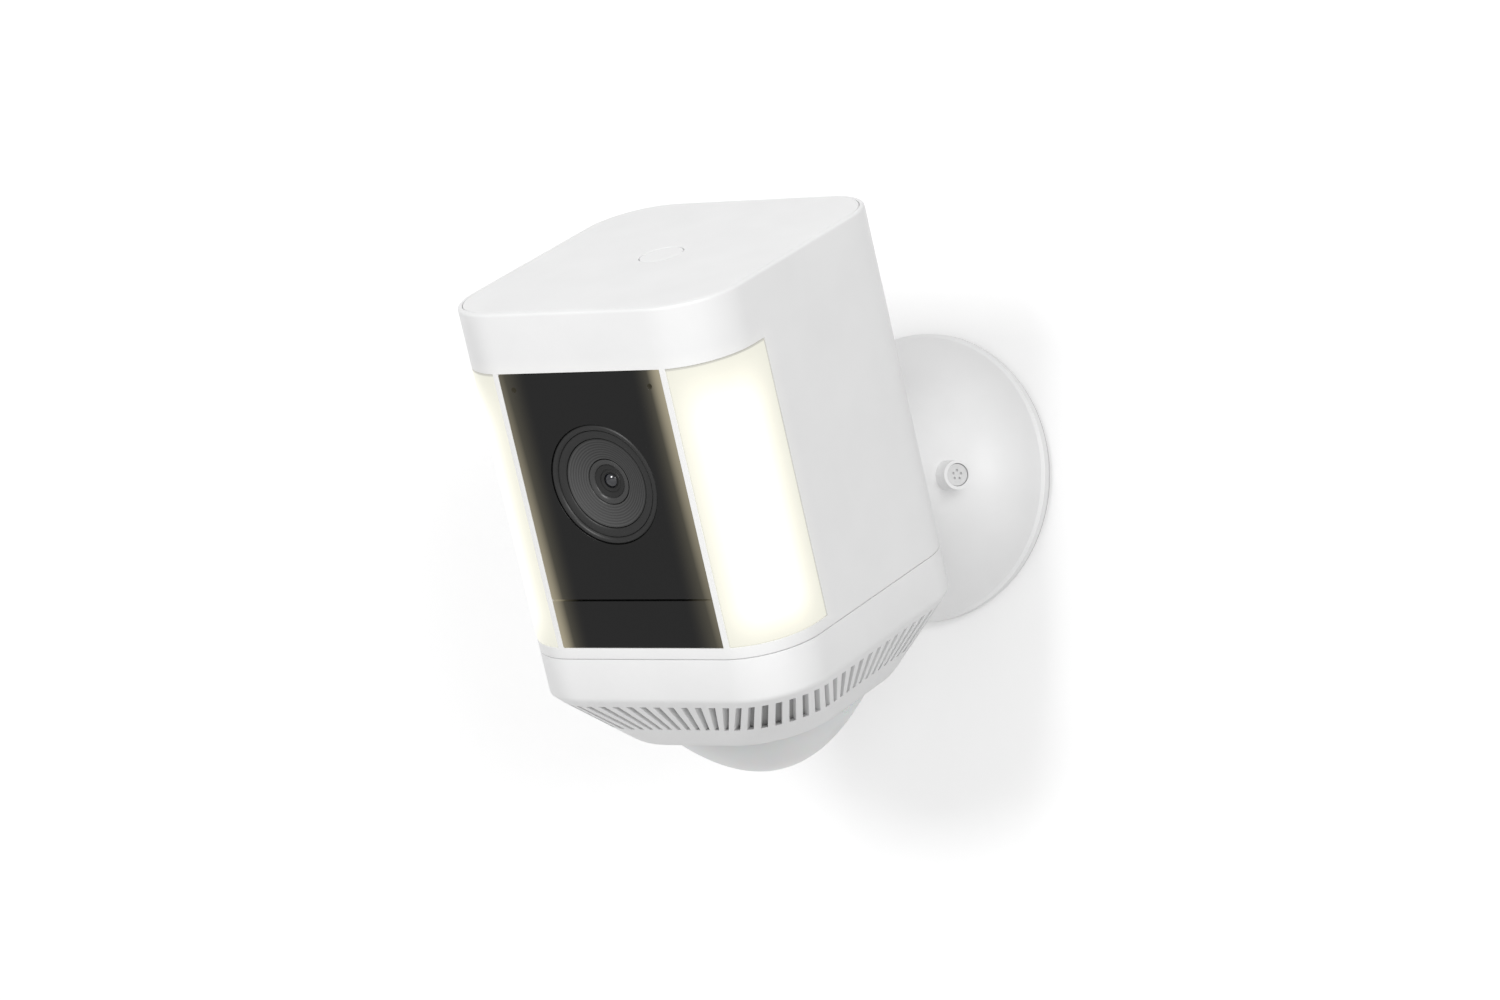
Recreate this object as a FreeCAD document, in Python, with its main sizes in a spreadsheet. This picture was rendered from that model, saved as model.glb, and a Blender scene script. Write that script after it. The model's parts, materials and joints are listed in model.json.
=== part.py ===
import FreeCAD, Part
import Sketcher
import math
import os
import re

# Battery security camera with two lit side panels on a ball-jointed wall mount.
# The row frame has its origin on the wall, at the centre of the round mount: +Y into the wall, +Z up.
# The head is modelled in its own frame, with its origin at the centre of the ball, and then tilted down.

DIMENSIONS = {
    # wall mount
    "plate_radius": 34.8, "plate_thickness": 1.0, "spigot_radius": 25.0, "spigot_height": 2.0,
    "wall_screw_circle": 21.0, "wall_screw_radius": 2.2,
    "rim_radius": 35.3, "rim_back": 1.25, "rim_front": 3.3, "rim_inset": 0.9, "cover_wall": 2.0,
    "flare_radius": 18.0, "flare_end_radius": 16.4, "flare_end_depth": 17.5,
    "neck_radius": 14.3, "neck_depth": 33.5, "neck_sweep": 150.0,
    "nose_radius": 12.6, "nose_depth": 37.0, "nose_mouth": 10.7,
    "boss_x": 22.0, "boss_depth": 21.0, "boss_angle": 33.0, "boss_radius": 3.6, "boss_length": 9.0,
    "boss_bore": 2.8, "boss_bore_depth": 3.4, "lock_screw_radius": 1.5, "lock_head_radius": 2.3,
    "lock_head_height": 1.9, "lock_screw_length": 16.0, "lock_star_radius": 0.3, "lock_star_circle": 0.95,
    "post_inner": 7.6, "post_outer": 13.4, "post_depth": 16.3, "post_half_width": 3.6,
    # ball joint
    "ball_depth": 32.0, "ball_radius": 9.0, "running_gap": 0.05, "bowl_wall": 1.05,
    "carrier_radius": 12.2, "carrier_bore": 11.35, "carrier_back": 17.0, "carrier_front": 35.6,
    "mouth_angle": 67.0, "block_radius": 11.3, "block_front": 26.0, "block_back": 19.6,
    "washer_thickness": 0.5, "washer_count": 2.0, "washer_hole": 6.0,
    "stud_radius": 3.5, "stud_end": 22.8, "gasket_radius": 5.5, "gasket_front": 13.7,
    # head
    "tilt_down": 22.0, "body_width": 77.0, "body_depth": 80.5, "body_corner": 16.3, "body_back": 15.2,
    "body_top": 75.2, "body_bottom": -9.5, "shell_wall": 2.2, "seam": 0.15,
    "cap_inset": 1.15, "cap_thickness": 2.0, "panel_half_width": 23.0, "panel_low": -6.7,
    "panel_high": 60.7, "panel_split": 5.15, "mullion": 1.5, "light_back": 75.1,
    "button_radius": 5.26, "button_height": 3.2, "button_gap": 0.2,
    "mic_x": 19.3, "mic_up": 56.8, "mic_radius": 0.65,
    # lens
    "lens_up": 33.4, "lens_ring": 14.5, "cone_radius": 10.87, "cone_recess": 0.95, "cone_depth": 2.0,
    "inner_ring": 5.36, "glass_radius": 3.82, "glass_bulge": 0.9, "barrel_back": 10.0,
    # base cover
    "ring_bottom": -20.2, "skirt_bottom": -36.1, "skirt_inset": 11.8, "skirt_corner": 17.6,
    "cover_gap": 0.4, "skirt_wall": 2.0, "slot_top": -21.8, "slot_bottom": -29.9,
    "slot_width": 1.6, "slot_count": 76.0, "dome_radius": 28.7, "dome_start": -32.1, "dome_height": 20.4,
    "dome_rim": 25.75, "dome_wall": 1.2, "dome_hole": 26.0,
    # electronics and power
    "battery_width": 24.4, "battery_depth": 42.0, "battery_height": 71.0, "battery_gap": 2.6,
    "battery_back": 24.7, "battery_low": -5.0, "cage_wall": 1.2, "cage_gap": 0.4,
    "board_thickness": 1.6, "board_back": 70.4, "latch_front": 62.0, "latch_back": 48.0, "latch_inset": 4.4,
    "led_pitch": 7.0, "led_half": 1.4, "led_count": 9.0, "fin_pitch": 1.35, "fin_thickness": 0.9,
    "led_board": 1.0, "chip_plate": 1.2, "contact_half": 2.0,
}

doc = FreeCAD.newDocument("SecurityCamera")
sheet = doc.addObject("Spreadsheet::Sheet", "Dims")
for row, (alias, amount) in enumerate(DIMENSIONS.items(), start=1):
    sheet.set("A%d" % row, str(amount))
    sheet.setAlias("A%d" % row, alias)
doc.recompute()

Vector = FreeCAD.Vector
AXES = {"x": Vector(1, 0, 0), "y": Vector(0, 1, 0), "z": Vector(0, 0, 1)}
PLANES = {"z": "XY_Plane", "y": "XZ_Plane", "x": "YZ_Plane"}
nodes = {}


def full(expression):
    """The expression with every alias written as a cell of the sheet."""
    return re.sub(r"[a-z_][a-z0-9_]*",
                  lambda word: "Dims." + word.group() if word.group() in DIMENSIONS else word.group(),
                  str(expression))


def value(expression):
    return float(sheet.evalExpression(full(expression)))


def bind(item, **expressions):
    for name, expression in expressions.items():
        item.setExpression(name.replace("__", "."), full(expression))
    return item


def box(name, x, y, z):
    """A block between pairs of limits, each an expression."""
    item = doc.addObject("Part::Box", name)
    for side, axis, (low, high) in zip(("Length", "Width", "Height"), "xyz", (x, y, z)):
        item.setExpression(side, full("(%s) - (%s)" % (high, low)))
        item.setExpression("Placement.Base." + axis, full(low))
    return item


def rod(name, axis, radius, start, end, centre=("0", "0")):
    """A cylinder along an axis from start to end; centre gives its place on the other two axes in order."""
    item = doc.addObject("Part::Cylinder", name)
    item.Placement = FreeCAD.Placement(Vector(), FreeCAD.Rotation(AXES["z"], AXES[axis]))
    bind(item, Radius=radius, Height="(%s) - (%s)" % (end, start))
    places = dict(zip([other for other in "xyz" if other != axis], centre))
    places[axis] = start
    for other, place in places.items():
        item.setExpression("Placement.Base." + other, full(place))
    return item


def ball(name, radius):
    item = doc.addObject("Part::Sphere", name)
    return bind(item, Radius=radius)


def fuse(name, *items):
    item = doc.addObject("Part::MultiFuse", name)
    item.Shapes = list(items)
    return item


def group(name, *items):
    """Solids kept apart under one Placement."""
    item = doc.addObject("Part::Compound", name)
    item.Links = list(items)
    return item


def cut(name, base, *tools):
    item = doc.addObject("Part::Cut", name)
    item.Base = base
    item.Tool = tools[0] if len(tools) == 1 else fuse(name + "_tools", *tools)
    return item


def common(name, first, second):
    item = doc.addObject("Part::Common", name)
    item.Base = first
    item.Tool = second
    return item


def tube(name, axis, outer, inner, start, end, centre=("0", "0")):
    return cut(name, rod(name + "_outer", axis, outer, start, end, centre),
               rod(name + "_bore", axis, inner, "(%s) - 1" % start, "(%s) + 1" % end, centre))


def arc_middle(start, end, radius, turn):
    """The middle point of the shorter arc from start to end that turns left or right."""
    chord = end - start
    side = Vector(-chord.y, chord.x, 0).normalize()
    rise = radius - math.sqrt(radius ** 2 - (chord.Length / 2) ** 2)
    return (start + end) / 2 + side * (-rise if turn == "left" else rise)


def outline(sketch, points):
    """A closed outline. A point is (across, up), or (across, up, radius, turn) to leave it on an arc."""
    places = [Vector(value(point[0]), value(point[1]), 0) for point in points]
    ends = []
    for index, point in enumerate(points):
        start, end = places[index], places[(index + 1) % len(points)]
        if len(point) == 4:
            middle = arc_middle(start, end, value(point[2]), point[3])
            edge = sketch.addGeometry(Part.Arc(start, middle, end))
        else:
            edge = sketch.addGeometry(Part.LineSegment(start, end))
        first = 1 if (sketch.getPoint(edge, 1) - start).Length < 1e-6 else 2
        ends.append((edge, first, 3 - first))
    for index, (edge, first, last) in enumerate(ends):
        follower, joined, _ = ends[(index + 1) % len(ends)]
        sketch.addConstraint(Sketcher.Constraint("Coincident", edge, last, follower, joined))
        for kind, coordinate, expression in (("DistanceX", places[index].x, points[index][0]),
                                             ("DistanceY", places[index].y, points[index][1])):
            datum = sketch.addConstraint(Sketcher.Constraint(kind, -1, 1, edge, first, coordinate))
            sketch.setExpression("Constraints[%d]" % datum, full(expression))
        if len(points[index]) == 4:
            radius = points[index][2]
            datum = sketch.addConstraint(Sketcher.Constraint("Radius", edge, value(radius)))
            sketch.setExpression("Constraints[%d]" % datum, full(radius))


def new_sketch(body, name, normal, offset, points):
    plane = next(item for item in body.Origin.OriginFeatures if item.Role == PLANES[normal])
    sketch = body.newObject("Sketcher::SketchObject", name)
    sketch.AttachmentSupport = (plane, [""])
    sketch.MapMode = "FlatFace"
    sketch.setExpression("AttachmentOffset.Base.z", full(offset))
    outline(sketch, points)
    return sketch


def prism(name, points, bottom, top):
    """An outline padded upward from bottom to top."""
    body = doc.addObject("PartDesign::Body", name)
    pad = body.newObject("PartDesign::Pad", name + "_pad")
    pad.Profile = new_sketch(body, name + "_sketch", "z", bottom, points)
    bind(pad, Length="(%s) - (%s)" % (top, bottom))
    return body


def turned(name, axis, points):
    """An outline of (radius, height along the axis) turned once round the y or z axis."""
    body = doc.addObject("PartDesign::Body", name)
    sketch = new_sketch(body, name + "_sketch", {"y": "z", "z": "y"}[axis], "0", points)
    revolution = body.newObject("PartDesign::Revolution", name + "_revolution")
    revolution.Profile = sketch
    revolution.ReferenceAxis = (sketch, ["V_Axis"])
    revolution.Angle = 360
    return body


def rounded_outline(width, depth, radius, middle):
    """A rounded rectangle, anticlockwise, centred on x = 0 and y = middle."""
    right, reach = "(%s) / 2" % width, "(%s) / 2" % depth
    flat_x, flat_y = "(%s - (%s))" % (right, radius), "(%s - (%s))" % (reach, radius)
    front, back = "(%s) - %s" % (middle, reach), "(%s) + %s" % (middle, reach)
    low, high = "(%s) - %s" % (middle, flat_y), "(%s) + %s" % (middle, flat_y)
    return [("-" + flat_x, front), (flat_x, front, radius, "left"),
            (right, low), (right, high, radius, "left"),
            (flat_x, back), ("-" + flat_x, back, radius, "left"),
            ("-" + right, high), ("-" + right, low, radius, "left")]


BODY_MIDDLE = "-body_back - body_depth / 2"
BODY_FRONT = "(-body_back - body_depth)"


def section(inset, taper="0", corner_change="0"):
    """The head's rounded section, drawn in by inset, or by taper as well with the corner growing."""
    drawn_in = "2 * ((%s) + (%s))" % (inset, taper)
    corner = "body_corner + (%s) - (%s)" % (corner_change, inset)
    return rounded_outline("body_width - " + drawn_in, "body_depth - " + drawn_in, corner, BODY_MIDDLE)


def head_block(name, inset, bottom, top):
    return prism(name, section(inset), bottom, top)


def taper_share(level):
    return "((ring_bottom - (%s)) / (ring_bottom - skirt_bottom))" % level


def skirt_block(name, inset, top, bottom):
    """The tapered part of the base cover between two levels, drawn in by inset."""
    body = doc.addObject("PartDesign::Body", name)
    sketches = []
    for label, level in (("_top", top), ("_bottom", bottom)):
        share = taper_share(level)
        points = section(inset, share + " * skirt_inset", share + " * (skirt_corner - body_corner)")
        sketches.append(new_sketch(body, name + label, "z", level, points))
    loft = body.newObject("PartDesign::AdditiveLoft", name + "_loft")
    loft.Profile = sketches[0]
    loft.Sections = [sketches[1]]
    loft.Ruled = True
    return body


def node(name, item, placement=FreeCAD.Placement()):
    """Registers a finished sub-part under its node name, to be put in its place at the end."""
    if item.TypeId in ("Part::Box", "Part::Cylinder"):
        item = group(name + "_group", item)
    item.Label = name
    nodes[name] = (item, placement)


def both_sides(maker, name, placement):
    """One sub-part on the left and one on the right; maker gets the sign of x as an expression."""
    for side, sign in (("left", "-1"), ("right", "1")):
        node("%s_%s" % (name, side), maker("%s_%s_" % (name, side), sign), placement)


def mirrored_limits(sign, inner, outer):
    """The x limits of a piece between inner and outer on one side, low one first."""
    if sign == "1":
        return inner, outer
    return "-(%s)" % outer, "-(%s)" % inner


BALL_CENTRE = FreeCAD.Placement(Vector(0, -value("ball_depth"), 0), FreeCAD.Rotation())
HEAD = BALL_CENTRE * FreeCAD.Placement(Vector(), FreeCAD.Rotation(AXES["x"], value("tilt_down")))
LENS = HEAD * FreeCAD.Placement(Vector(0, value(BODY_FRONT), value("lens_up")), FreeCAD.Rotation())
SCREW_LINE = FreeCAD.Placement(
    Vector(value("boss_x"), -value("boss_depth"), 0),
    FreeCAD.Rotation(AXES["x"], Vector(math.cos(math.radians(value("boss_angle"))),
                                       -math.sin(math.radians(value("boss_angle"))), 0)))


def screw_line_rod(name, radius, start, end):
    """A cylinder on the locking screw's line; 0 is the boss's face and negative values go inward."""
    item = group(name, rod(name + "_rod", "x", radius, start, end))
    item.Placement = SCREW_LINE
    return item


# ---------------------------------------------------------------- wall mount

def make_wall_plate():
    plate = rod("plate_disc", "y", "plate_radius", "-plate_thickness", "0")
    spigot = tube("plate_spigot", "y", "spigot_radius", "spigot_radius - 1.6",
                  "-plate_thickness - spigot_height", "-plate_thickness / 2")
    post = box("plate_post", ("post_inner", "post_outer"), ("-post_depth", "-plate_thickness / 2"),
               ("-post_half_width", "post_half_width"))
    holes = [rod("plate_hole%d" % index, "y", "wall_screw_radius", "-plate_thickness - 1", "1",
                 ("wall_screw_circle * cos(%d)" % angle, "wall_screw_circle * sin(%d)" % angle))
             for index, angle in enumerate((45, 135, 225, 315))]
    screw_hole = screw_line_rod("plate_screw_hole", "lock_screw_radius", "-30", "0")
    return cut("plate", fuse("plate_blank", plate, spigot, post), *holes, screw_hole)


def flare_outline(inset):
    """The trumpet-shaped cover: a band at the wall, a concave flare and a slim neck with a rounded nose."""
    wall = "(%s)" % inset
    return [("0", "-rim_back + %s" % wall), ("rim_radius - %s" % wall, "-rim_back + %s" % wall),
            ("rim_radius - %s" % wall, "-rim_front + 0.4 + %s" % wall),
            ("rim_radius - rim_inset - %s" % wall, "-rim_front + %s" % wall,
             "flare_radius + %s" % wall, "left"),
            ("flare_end_radius - %s" % wall, "-flare_end_depth + 0.4 * %s" % wall,
             "neck_sweep + %s" % wall, "left"),
            ("neck_radius - %s" % wall, "-neck_depth"),
            ("nose_radius - %s" % wall, "-nose_depth"), ("0", "-nose_depth")]


def make_mount_cover():
    skin = turned("cover_skin", "y", flare_outline("0"))
    boss = screw_line_rod("cover_boss", "boss_radius", "-boss_length", "0")
    hollow = turned("cover_hollow", "y", flare_outline("cover_wall"))
    seat = rod("cover_seat", "y", "carrier_radius", "-carrier_front", "-carrier_back")
    mouth = rod("cover_mouth", "y", "nose_mouth", "-nose_depth - 1", "-carrier_back")
    bore = screw_line_rod("cover_bore", "boss_bore", "-boss_bore_depth", "1")
    passage = screw_line_rod("cover_passage", "lock_screw_radius + 0.2", "-14", "0")
    return cut("cover", fuse("cover_blank", skin, boss), front_of(hollow), seat, mouth, bore, passage)


def front_of(hollow):
    """The hollow of the neck stops at the seat, so that the nose keeps a lip over the ball's carrier."""
    return common("cover_hollow_back", hollow,
                  rod("cover_hollow_limit", "y", "rim_radius", "-carrier_front", "0"))


def make_security_screw():
    seat = "-boss_bore_depth"
    head = rod("lock_head", "x", "lock_head_radius", seat, seat + " + lock_head_height")
    shank = rod("lock_shank", "x", "lock_screw_radius", seat + " - lock_screw_length + 3.0", seat)
    star = [rod("lock_star%d" % index, "x", "lock_star_radius", seat + " + lock_head_height - 0.9", "0",
                ("lock_star_circle * cos(%d)" % angle, "lock_star_circle * sin(%d)" % angle))
            for index, angle in enumerate(range(0, 360, 72))]
    return cut("lock_screw", fuse("lock_blank", head, shank), *star)


def make_seat_carrier():
    """The tube that holds the ball: a straight bore behind, a spherical lip in front and a flared mouth."""
    body = rod("carrier_body", "y", "carrier_radius", "ball_depth - carrier_front",
               "ball_depth - carrier_back")
    bore = rod("carrier_straight", "y", "carrier_bore", "0", "ball_depth")
    cavity = ball("carrier_cavity", "ball_radius + running_gap")
    mouth = doc.addObject("Part::Cone", "carrier_mouth")
    mouth.Placement = FreeCAD.Placement(Vector(), FreeCAD.Rotation(AXES["z"], -AXES["y"]))
    bind(mouth, Radius1="0", Radius2="carrier_radius * 1.1",
         Height="carrier_radius * 1.1 / tan(mouth_angle)")
    return cut("carrier", body, bore, cavity, mouth)


def make_seat_block():
    block = rod("block_body", "y", "block_radius", "ball_depth - block_front", "ball_depth - block_back")
    return cut("block", block, ball("block_hollow", "ball_radius + 3 * running_gap + 2 * bowl_wall"),
               rod("block_hole", "y", "washer_hole", "0", "ball_depth"))


def make_washers():
    start = "ball_depth - block_back"
    rings = []
    for index in range(int(value("washer_count"))):
        low = "%s + %d * (washer_thickness + 0.25)" % (start, index)
        radius = "block_radius - %g" % (0.3 * index)
        high = low + " + washer_thickness"
        rings.append(tube("washer%d" % index, "y", radius, "washer_hole + 1", low, high))
    return fuse("washers", *rings)


def make_carrier_nut():
    start = "ball_depth - block_back + washer_count * (washer_thickness + 0.25)"
    end = "ball_depth - carrier_back + 0.4"
    ring = tube("nut_ring", "y", "carrier_bore", "washer_hole + 1", start, end)
    notches = [box("nut_notch%d" % index, limits, (end + " - 0.8", end + " + 1"), ("-1.2", "1.2"))
               for index, limits in enumerate((("8.4", "12"), ("-12", "-8.4")))]
    return cut("nut", ring, *notches)


def bowl(name, inner, front):
    """The part of a hollow ball that lies behind the plane y = front."""
    outside = ball(name + "_outer", "(%s) + bowl_wall" % inner)
    skin = cut(name + "_skin", outside, ball(name + "_inner", inner))
    reach = ("-2 * ball_radius", "2 * ball_radius")
    return common(name, skin, box(name + "_limit", reach, (front, "2 * ball_radius"), reach))


node("wall_plate", make_wall_plate())
node("mount_cover", make_mount_cover())
node("security_screw", make_security_screw(), SCREW_LINE)
node("seat_carrier", make_seat_carrier(), BALL_CENTRE)
node("seat_block", make_seat_block(), BALL_CENTRE)
node("preload_washers", make_washers(), BALL_CENTRE)
node("carrier_nut", make_carrier_nut(), BALL_CENTRE)
node("seat_cup", bowl("cup", "ball_radius + 2 * running_gap + bowl_wall", "6.6"), BALL_CENTRE)
node("friction_pad", bowl("pad", "ball_radius + running_gap", "7.0"), HEAD)


# ---------------------------------------------------------------- head: joint to the mount

def make_stud_nut():
    hexagon = doc.addObject("Part::Prism", "stud_hexagon")
    hexagon.Polygon = 6
    hexagon.Placement = FreeCAD.Placement(Vector(), FreeCAD.Rotation(AXES["z"], -AXES["y"]))
    bind(hexagon, Circumradius="6.2", Height="3.0", Placement__Base__y="-body_back - shell_wall - 2.0")
    return cut("stud_nut_cut", hexagon, rod("stud_nut_hole", "y", "stud_radius", "-stud_end", "0"))


def make_stud_plate():
    back = "-body_back - shell_wall"
    plate = box("stud_plate_block", ("-13", "13"), (back + " - 2.0", back), ("-5.5", "15"))
    return cut("stud_plate_cut", plate, rod("stud_plate_hole", "y", "stud_radius", "-stud_end", "0"))


node("ball_stud", fuse("stud", ball("stud_ball", "ball_radius"),
                       rod("stud_shank", "y", "stud_radius", "-stud_end", "-5")), HEAD)
node("stud_gasket",
     tube("gasket", "y", "gasket_radius", "stud_radius", "-body_back", "-gasket_front"), HEAD)
node("stud_plate", make_stud_plate(), HEAD)
node("stud_nut", make_stud_nut(), HEAD)


# ---------------------------------------------------------------- head: housing

WIDE = ("-body_width", "body_width")
FRONT_BAND = (BODY_FRONT + " - 5", "-light_back")
SIDES = (("_left", "-1"), ("_right", "1"))


def make_main_shell():
    """The upper housing: a rounded tube with a front opening, two mullions and a recess for the top cap."""
    skin = head_block("shell_skin", "0", "body_bottom", "body_top")
    hollow = head_block("shell_hollow", "shell_wall", "body_bottom - 1", "body_top - cap_thickness - 1.2")
    recess = head_block("shell_recess", "cap_inset", "body_top - cap_thickness", "body_top + 1")
    opening = box("shell_opening", WIDE, FRONT_BAND, ("panel_low", "panel_high"))
    stud_hole = rod("shell_stud_hole", "y", "stud_radius", "-stud_end", "0")
    switch_hole = rod("shell_switch_hole", "z", "4.0", "body_top - 8", "body_top", ("0", BODY_MIDDLE))
    shell = cut("shell_cut", skin, hollow, recess, opening, stud_hole, switch_hole)
    band = cut("shell_band", head_block("shell_band_outer", "0", "panel_low - 0.5", "panel_high + 0.5"),
               head_block("shell_band_inner", "shell_wall", "panel_low - 1", "panel_high + 1"))
    slats = []
    for side, sign in SIDES:
        limits = mirrored_limits(sign, "panel_half_width", "panel_half_width + mullion")
        slats.append(box("shell_slat" + side, limits, FRONT_BAND, ("panel_low - 0.5", "panel_high + 0.5")))
    return fuse("shell", shell, common("shell_mullions", band, fuse("shell_slats", *slats)))


def make_top_cap():
    plate = head_block("cap_plate", "cap_inset + seam", "body_top - cap_thickness", "body_top")
    return cut("cap", plate, rod("cap_hole", "z", "button_radius + button_gap", "0", "body_top + 1",
                                 ("0", BODY_MIDDLE)))


def front_strip(name, x, y, z):
    """A piece of the head's rounded front wall between limits."""
    outer = head_block(name + "outer", "0", *z)
    wall = cut(name + "wall", outer, head_block(name + "inner", "shell_wall", *z))
    return common(name + "strip", wall, box(name + "limit", x, y, z))


PANEL_WIDTH = ("-panel_half_width + seam / 3", "panel_half_width - seam / 3")


def make_upper_panel():
    height = ("panel_split + seam / 2", "panel_high - seam / 3")
    strip = front_strip("upper_panel_", PANEL_WIDTH, FRONT_BAND, height)
    holes = [rod("upper_mic_hole" + side, "y", "mic_radius", BODY_FRONT + " - 1", "0",
                 (sign + " * mic_x", "mic_up")) for side, sign in SIDES]
    lens_hole = rod("upper_lens_hole", "y", "lens_ring", BODY_FRONT + " - 1", "0", ("0", "lens_up"))
    return cut("upper_panel", strip, *holes, lens_hole)


def make_lower_panel():
    height = ("panel_low + seam / 3", "panel_split - seam / 2")
    return front_strip("lower_panel_", PANEL_WIDTH, FRONT_BAND, height)


def make_diffuser(name, sign):
    limits = mirrored_limits(sign, "panel_half_width + mullion", "body_width")
    return front_strip(name, limits, (BODY_FRONT + " - 5", "-light_back - seam"),
                       ("panel_low + seam / 3", "panel_high - seam / 3"))


def make_reflector(name, sign):
    """An open tray behind the diffuser."""
    height = ("panel_low + 1.5", "panel_high - 1.5")
    outer = common(name + "outer", head_block(name + "block", "shell_wall + 0.1", *height),
                   box(name + "limit", mirrored_limits(sign, "panel_half_width + mullion", "body_width"),
                       FRONT_BAND, height))
    inner_height = ("panel_low + 2.3", "panel_high - 2.3")
    inner = box(name + "hollow", mirrored_limits(sign, "panel_half_width + mullion + 0.8", "body_width"),
                (BODY_FRONT + " - 5", "-light_back - 0.8"), inner_height)
    return cut(name + "tray", outer, inner)


LIGHT_X = ("panel_half_width + mullion + 1.2", "body_width / 2 - shell_wall - 1.4")
LIGHT_FRONT = "-light_back - 0.8"


def make_led_board(name, sign):
    return box(name + "board", mirrored_limits(sign, *LIGHT_X), (LIGHT_FRONT + " - led_board", LIGHT_FRONT),
               ("panel_low + 3.5", "panel_high - 3.5"))


def make_leds(name, sign):
    """Two columns of small square emitters on the board."""
    middle = (value("led_count") - 1) / 2
    depth = (LIGHT_FRONT + " - led_board - 0.6", LIGHT_FRONT + " - led_board")
    emitters = []
    for column in (1, 2):
        across = "%s * (panel_half_width + mullion + 4 * %d)" % (sign, column)
        for index in range(int(value("led_count"))):
            up = "(panel_low + panel_high) / 2 + %g * led_pitch" % (index - middle)
            emitters.append(box("%s%d_%d" % (name, column, index), around(across, "led_half"), depth,
                                around(up, "led_half")))
    return fuse(name + "group", *emitters)


def around(middle, half):
    """The limits of a piece that reaches half either way from its middle."""
    return "(%s) - (%s)" % (middle, half), "(%s) + (%s)" % (middle, half)


def make_heat_sink(name, sign):
    """A plate behind the light with vertical fins."""
    height = ("panel_low + 6", "panel_high - 6")
    plate = box(name + "plate", mirrored_limits(sign, "29", "35.4"), ("-light_back", "-light_back + 1.5"),
                height)
    fins = []
    for index in range(5):
        inner = "29 + %d * fin_pitch" % index
        fins.append(box("%sfin%d" % (name, index), mirrored_limits(sign, inner, inner + " + fin_thickness"),
                        ("-light_back + 1", "-light_back + 6"), height))
    return fuse(name + "sink", plate, *fins)


node("main_shell", make_main_shell(), HEAD)
node("top_cap", make_top_cap(), HEAD)
node("upper_front_panel", make_upper_panel(), HEAD)
node("lower_front_panel", make_lower_panel(), HEAD)
both_sides(make_diffuser, "diffuser", HEAD)
both_sides(make_reflector, "reflector", HEAD)
both_sides(make_led_board, "led_board", HEAD)
both_sides(make_leds, "leds", HEAD)
both_sides(make_heat_sink, "heat_sink", HEAD)


# ---------------------------------------------------------------- head: lens and sensors

def make_lens_ring(name, outer, inner, depths):
    """A ring whose depths are given at its inner front, outer front, outer back and inner back edge."""
    return turned(name, "y", list(zip((inner, outer, outer, inner), depths)))


def make_lens_barrel():
    """The barrel ends in a wide holder with a slot in which the infrared filter slides."""
    barrel = rod("barrel_tube", "y", "inner_ring", "cone_depth + 1.1", "barrel_back")
    holder = box("barrel_holder", ("-15", "15"), ("barrel_back - 0.5", "barrel_back + 5"), ("-7", "7"))
    light_path = rod("barrel_path", "y", "glass_radius - 0.6", "0", "barrel_back + 6")
    slot = box("barrel_slot", ("-14", "14"), ("barrel_back + 1.8", "barrel_back + 3.2"), ("-4.4", "4.4"))
    return cut("barrel", fuse("barrel_blank", barrel, holder), light_path, slot)


def make_lens_glass():
    """A shallow dome over a flat back."""
    edge, back = "cone_depth + 0.2", "cone_depth + 1.1"
    return turned("glass", "y", [("0", back), ("0", edge + " - glass_bulge", "8.6", "left"),
                                 ("glass_radius", edge), ("glass_radius", back)])


def make_mic_boots():
    """A soft tube behind each microphone hole."""
    front = BODY_FRONT + " + shell_wall"
    return fuse("boots", *[tube("boot" + side, "y", "2.4", "mic_radius", front, front + " + 3",
                                (sign + " * mic_x", "mic_up")) for side, sign in SIDES])


def make_ir_leds():
    """Four night-vision emitters behind the dark panel round the lens."""
    front = BODY_FRONT + " + shell_wall + 0.6"
    domes = []
    for index, angle in enumerate((40, 140, 220, 320)):
        place = ("19 * cos(%d)" % angle, "lens_up + 19 * sin(%d)" % angle)
        domes.append(rod("ir_led%d" % index, "y", "2.3", front, front + " + 5", place))
    return fuse("ir_group", *domes)


node("lens_bezel", make_lens_ring("bezel", "lens_ring - 0.02", "cone_radius",
                                  ("0.35", "0.0", "shell_wall + 1.0", "shell_wall + 1.0")), LENS)
node("lens_cone", make_lens_ring("cone", "cone_radius", "inner_ring",
                                 ("cone_depth", "cone_recess", "cone_recess + 1.2",
                                  "cone_depth + 1.1")), LENS)
node("lens_inner_ring", make_lens_ring("inner", "inner_ring", "glass_radius",
                                       ("cone_depth + 0.3", "cone_depth", "cone_depth + 1.1",
                                        "cone_depth + 1.1")), LENS)
node("lens_glass", make_lens_glass(), LENS)
node("lens_barrel", make_lens_barrel(), LENS)
node("ir_cut_filter", box("ir_filter", ("-12.6", "3.9"), ("barrel_back + 2.1", "barrel_back + 2.9"),
                          ("-4.0", "4.0")), LENS)
SENSOR_BACK = "barrel_back + 5.2 + chip_plate"
node("image_sensor", box("sensor_chip", ("-4", "4"), ("barrel_back + 5.2", SENSOR_BACK), ("-4", "4")), LENS)
node("sensor_board", box("sensor_plate", ("-16", "16"), (SENSOR_BACK, SENSOR_BACK + " + chip_plate"),
                         ("-13", "13")), LENS)
node("mic_boots", make_mic_boots(), HEAD)
node("ir_leds", make_ir_leds(), HEAD)


# ---------------------------------------------------------------- head: boards, battery cage, top button

CAGE_BACK = "(-battery_back + cage_gap)"
CAGE_FRONT = "(-battery_back - battery_depth - cage_gap)"
CAGE_SIDE = "(battery_gap / 2 + battery_width + cage_gap)"
CAGE_TOP = "(battery_low + battery_height + 1.6)"


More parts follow.
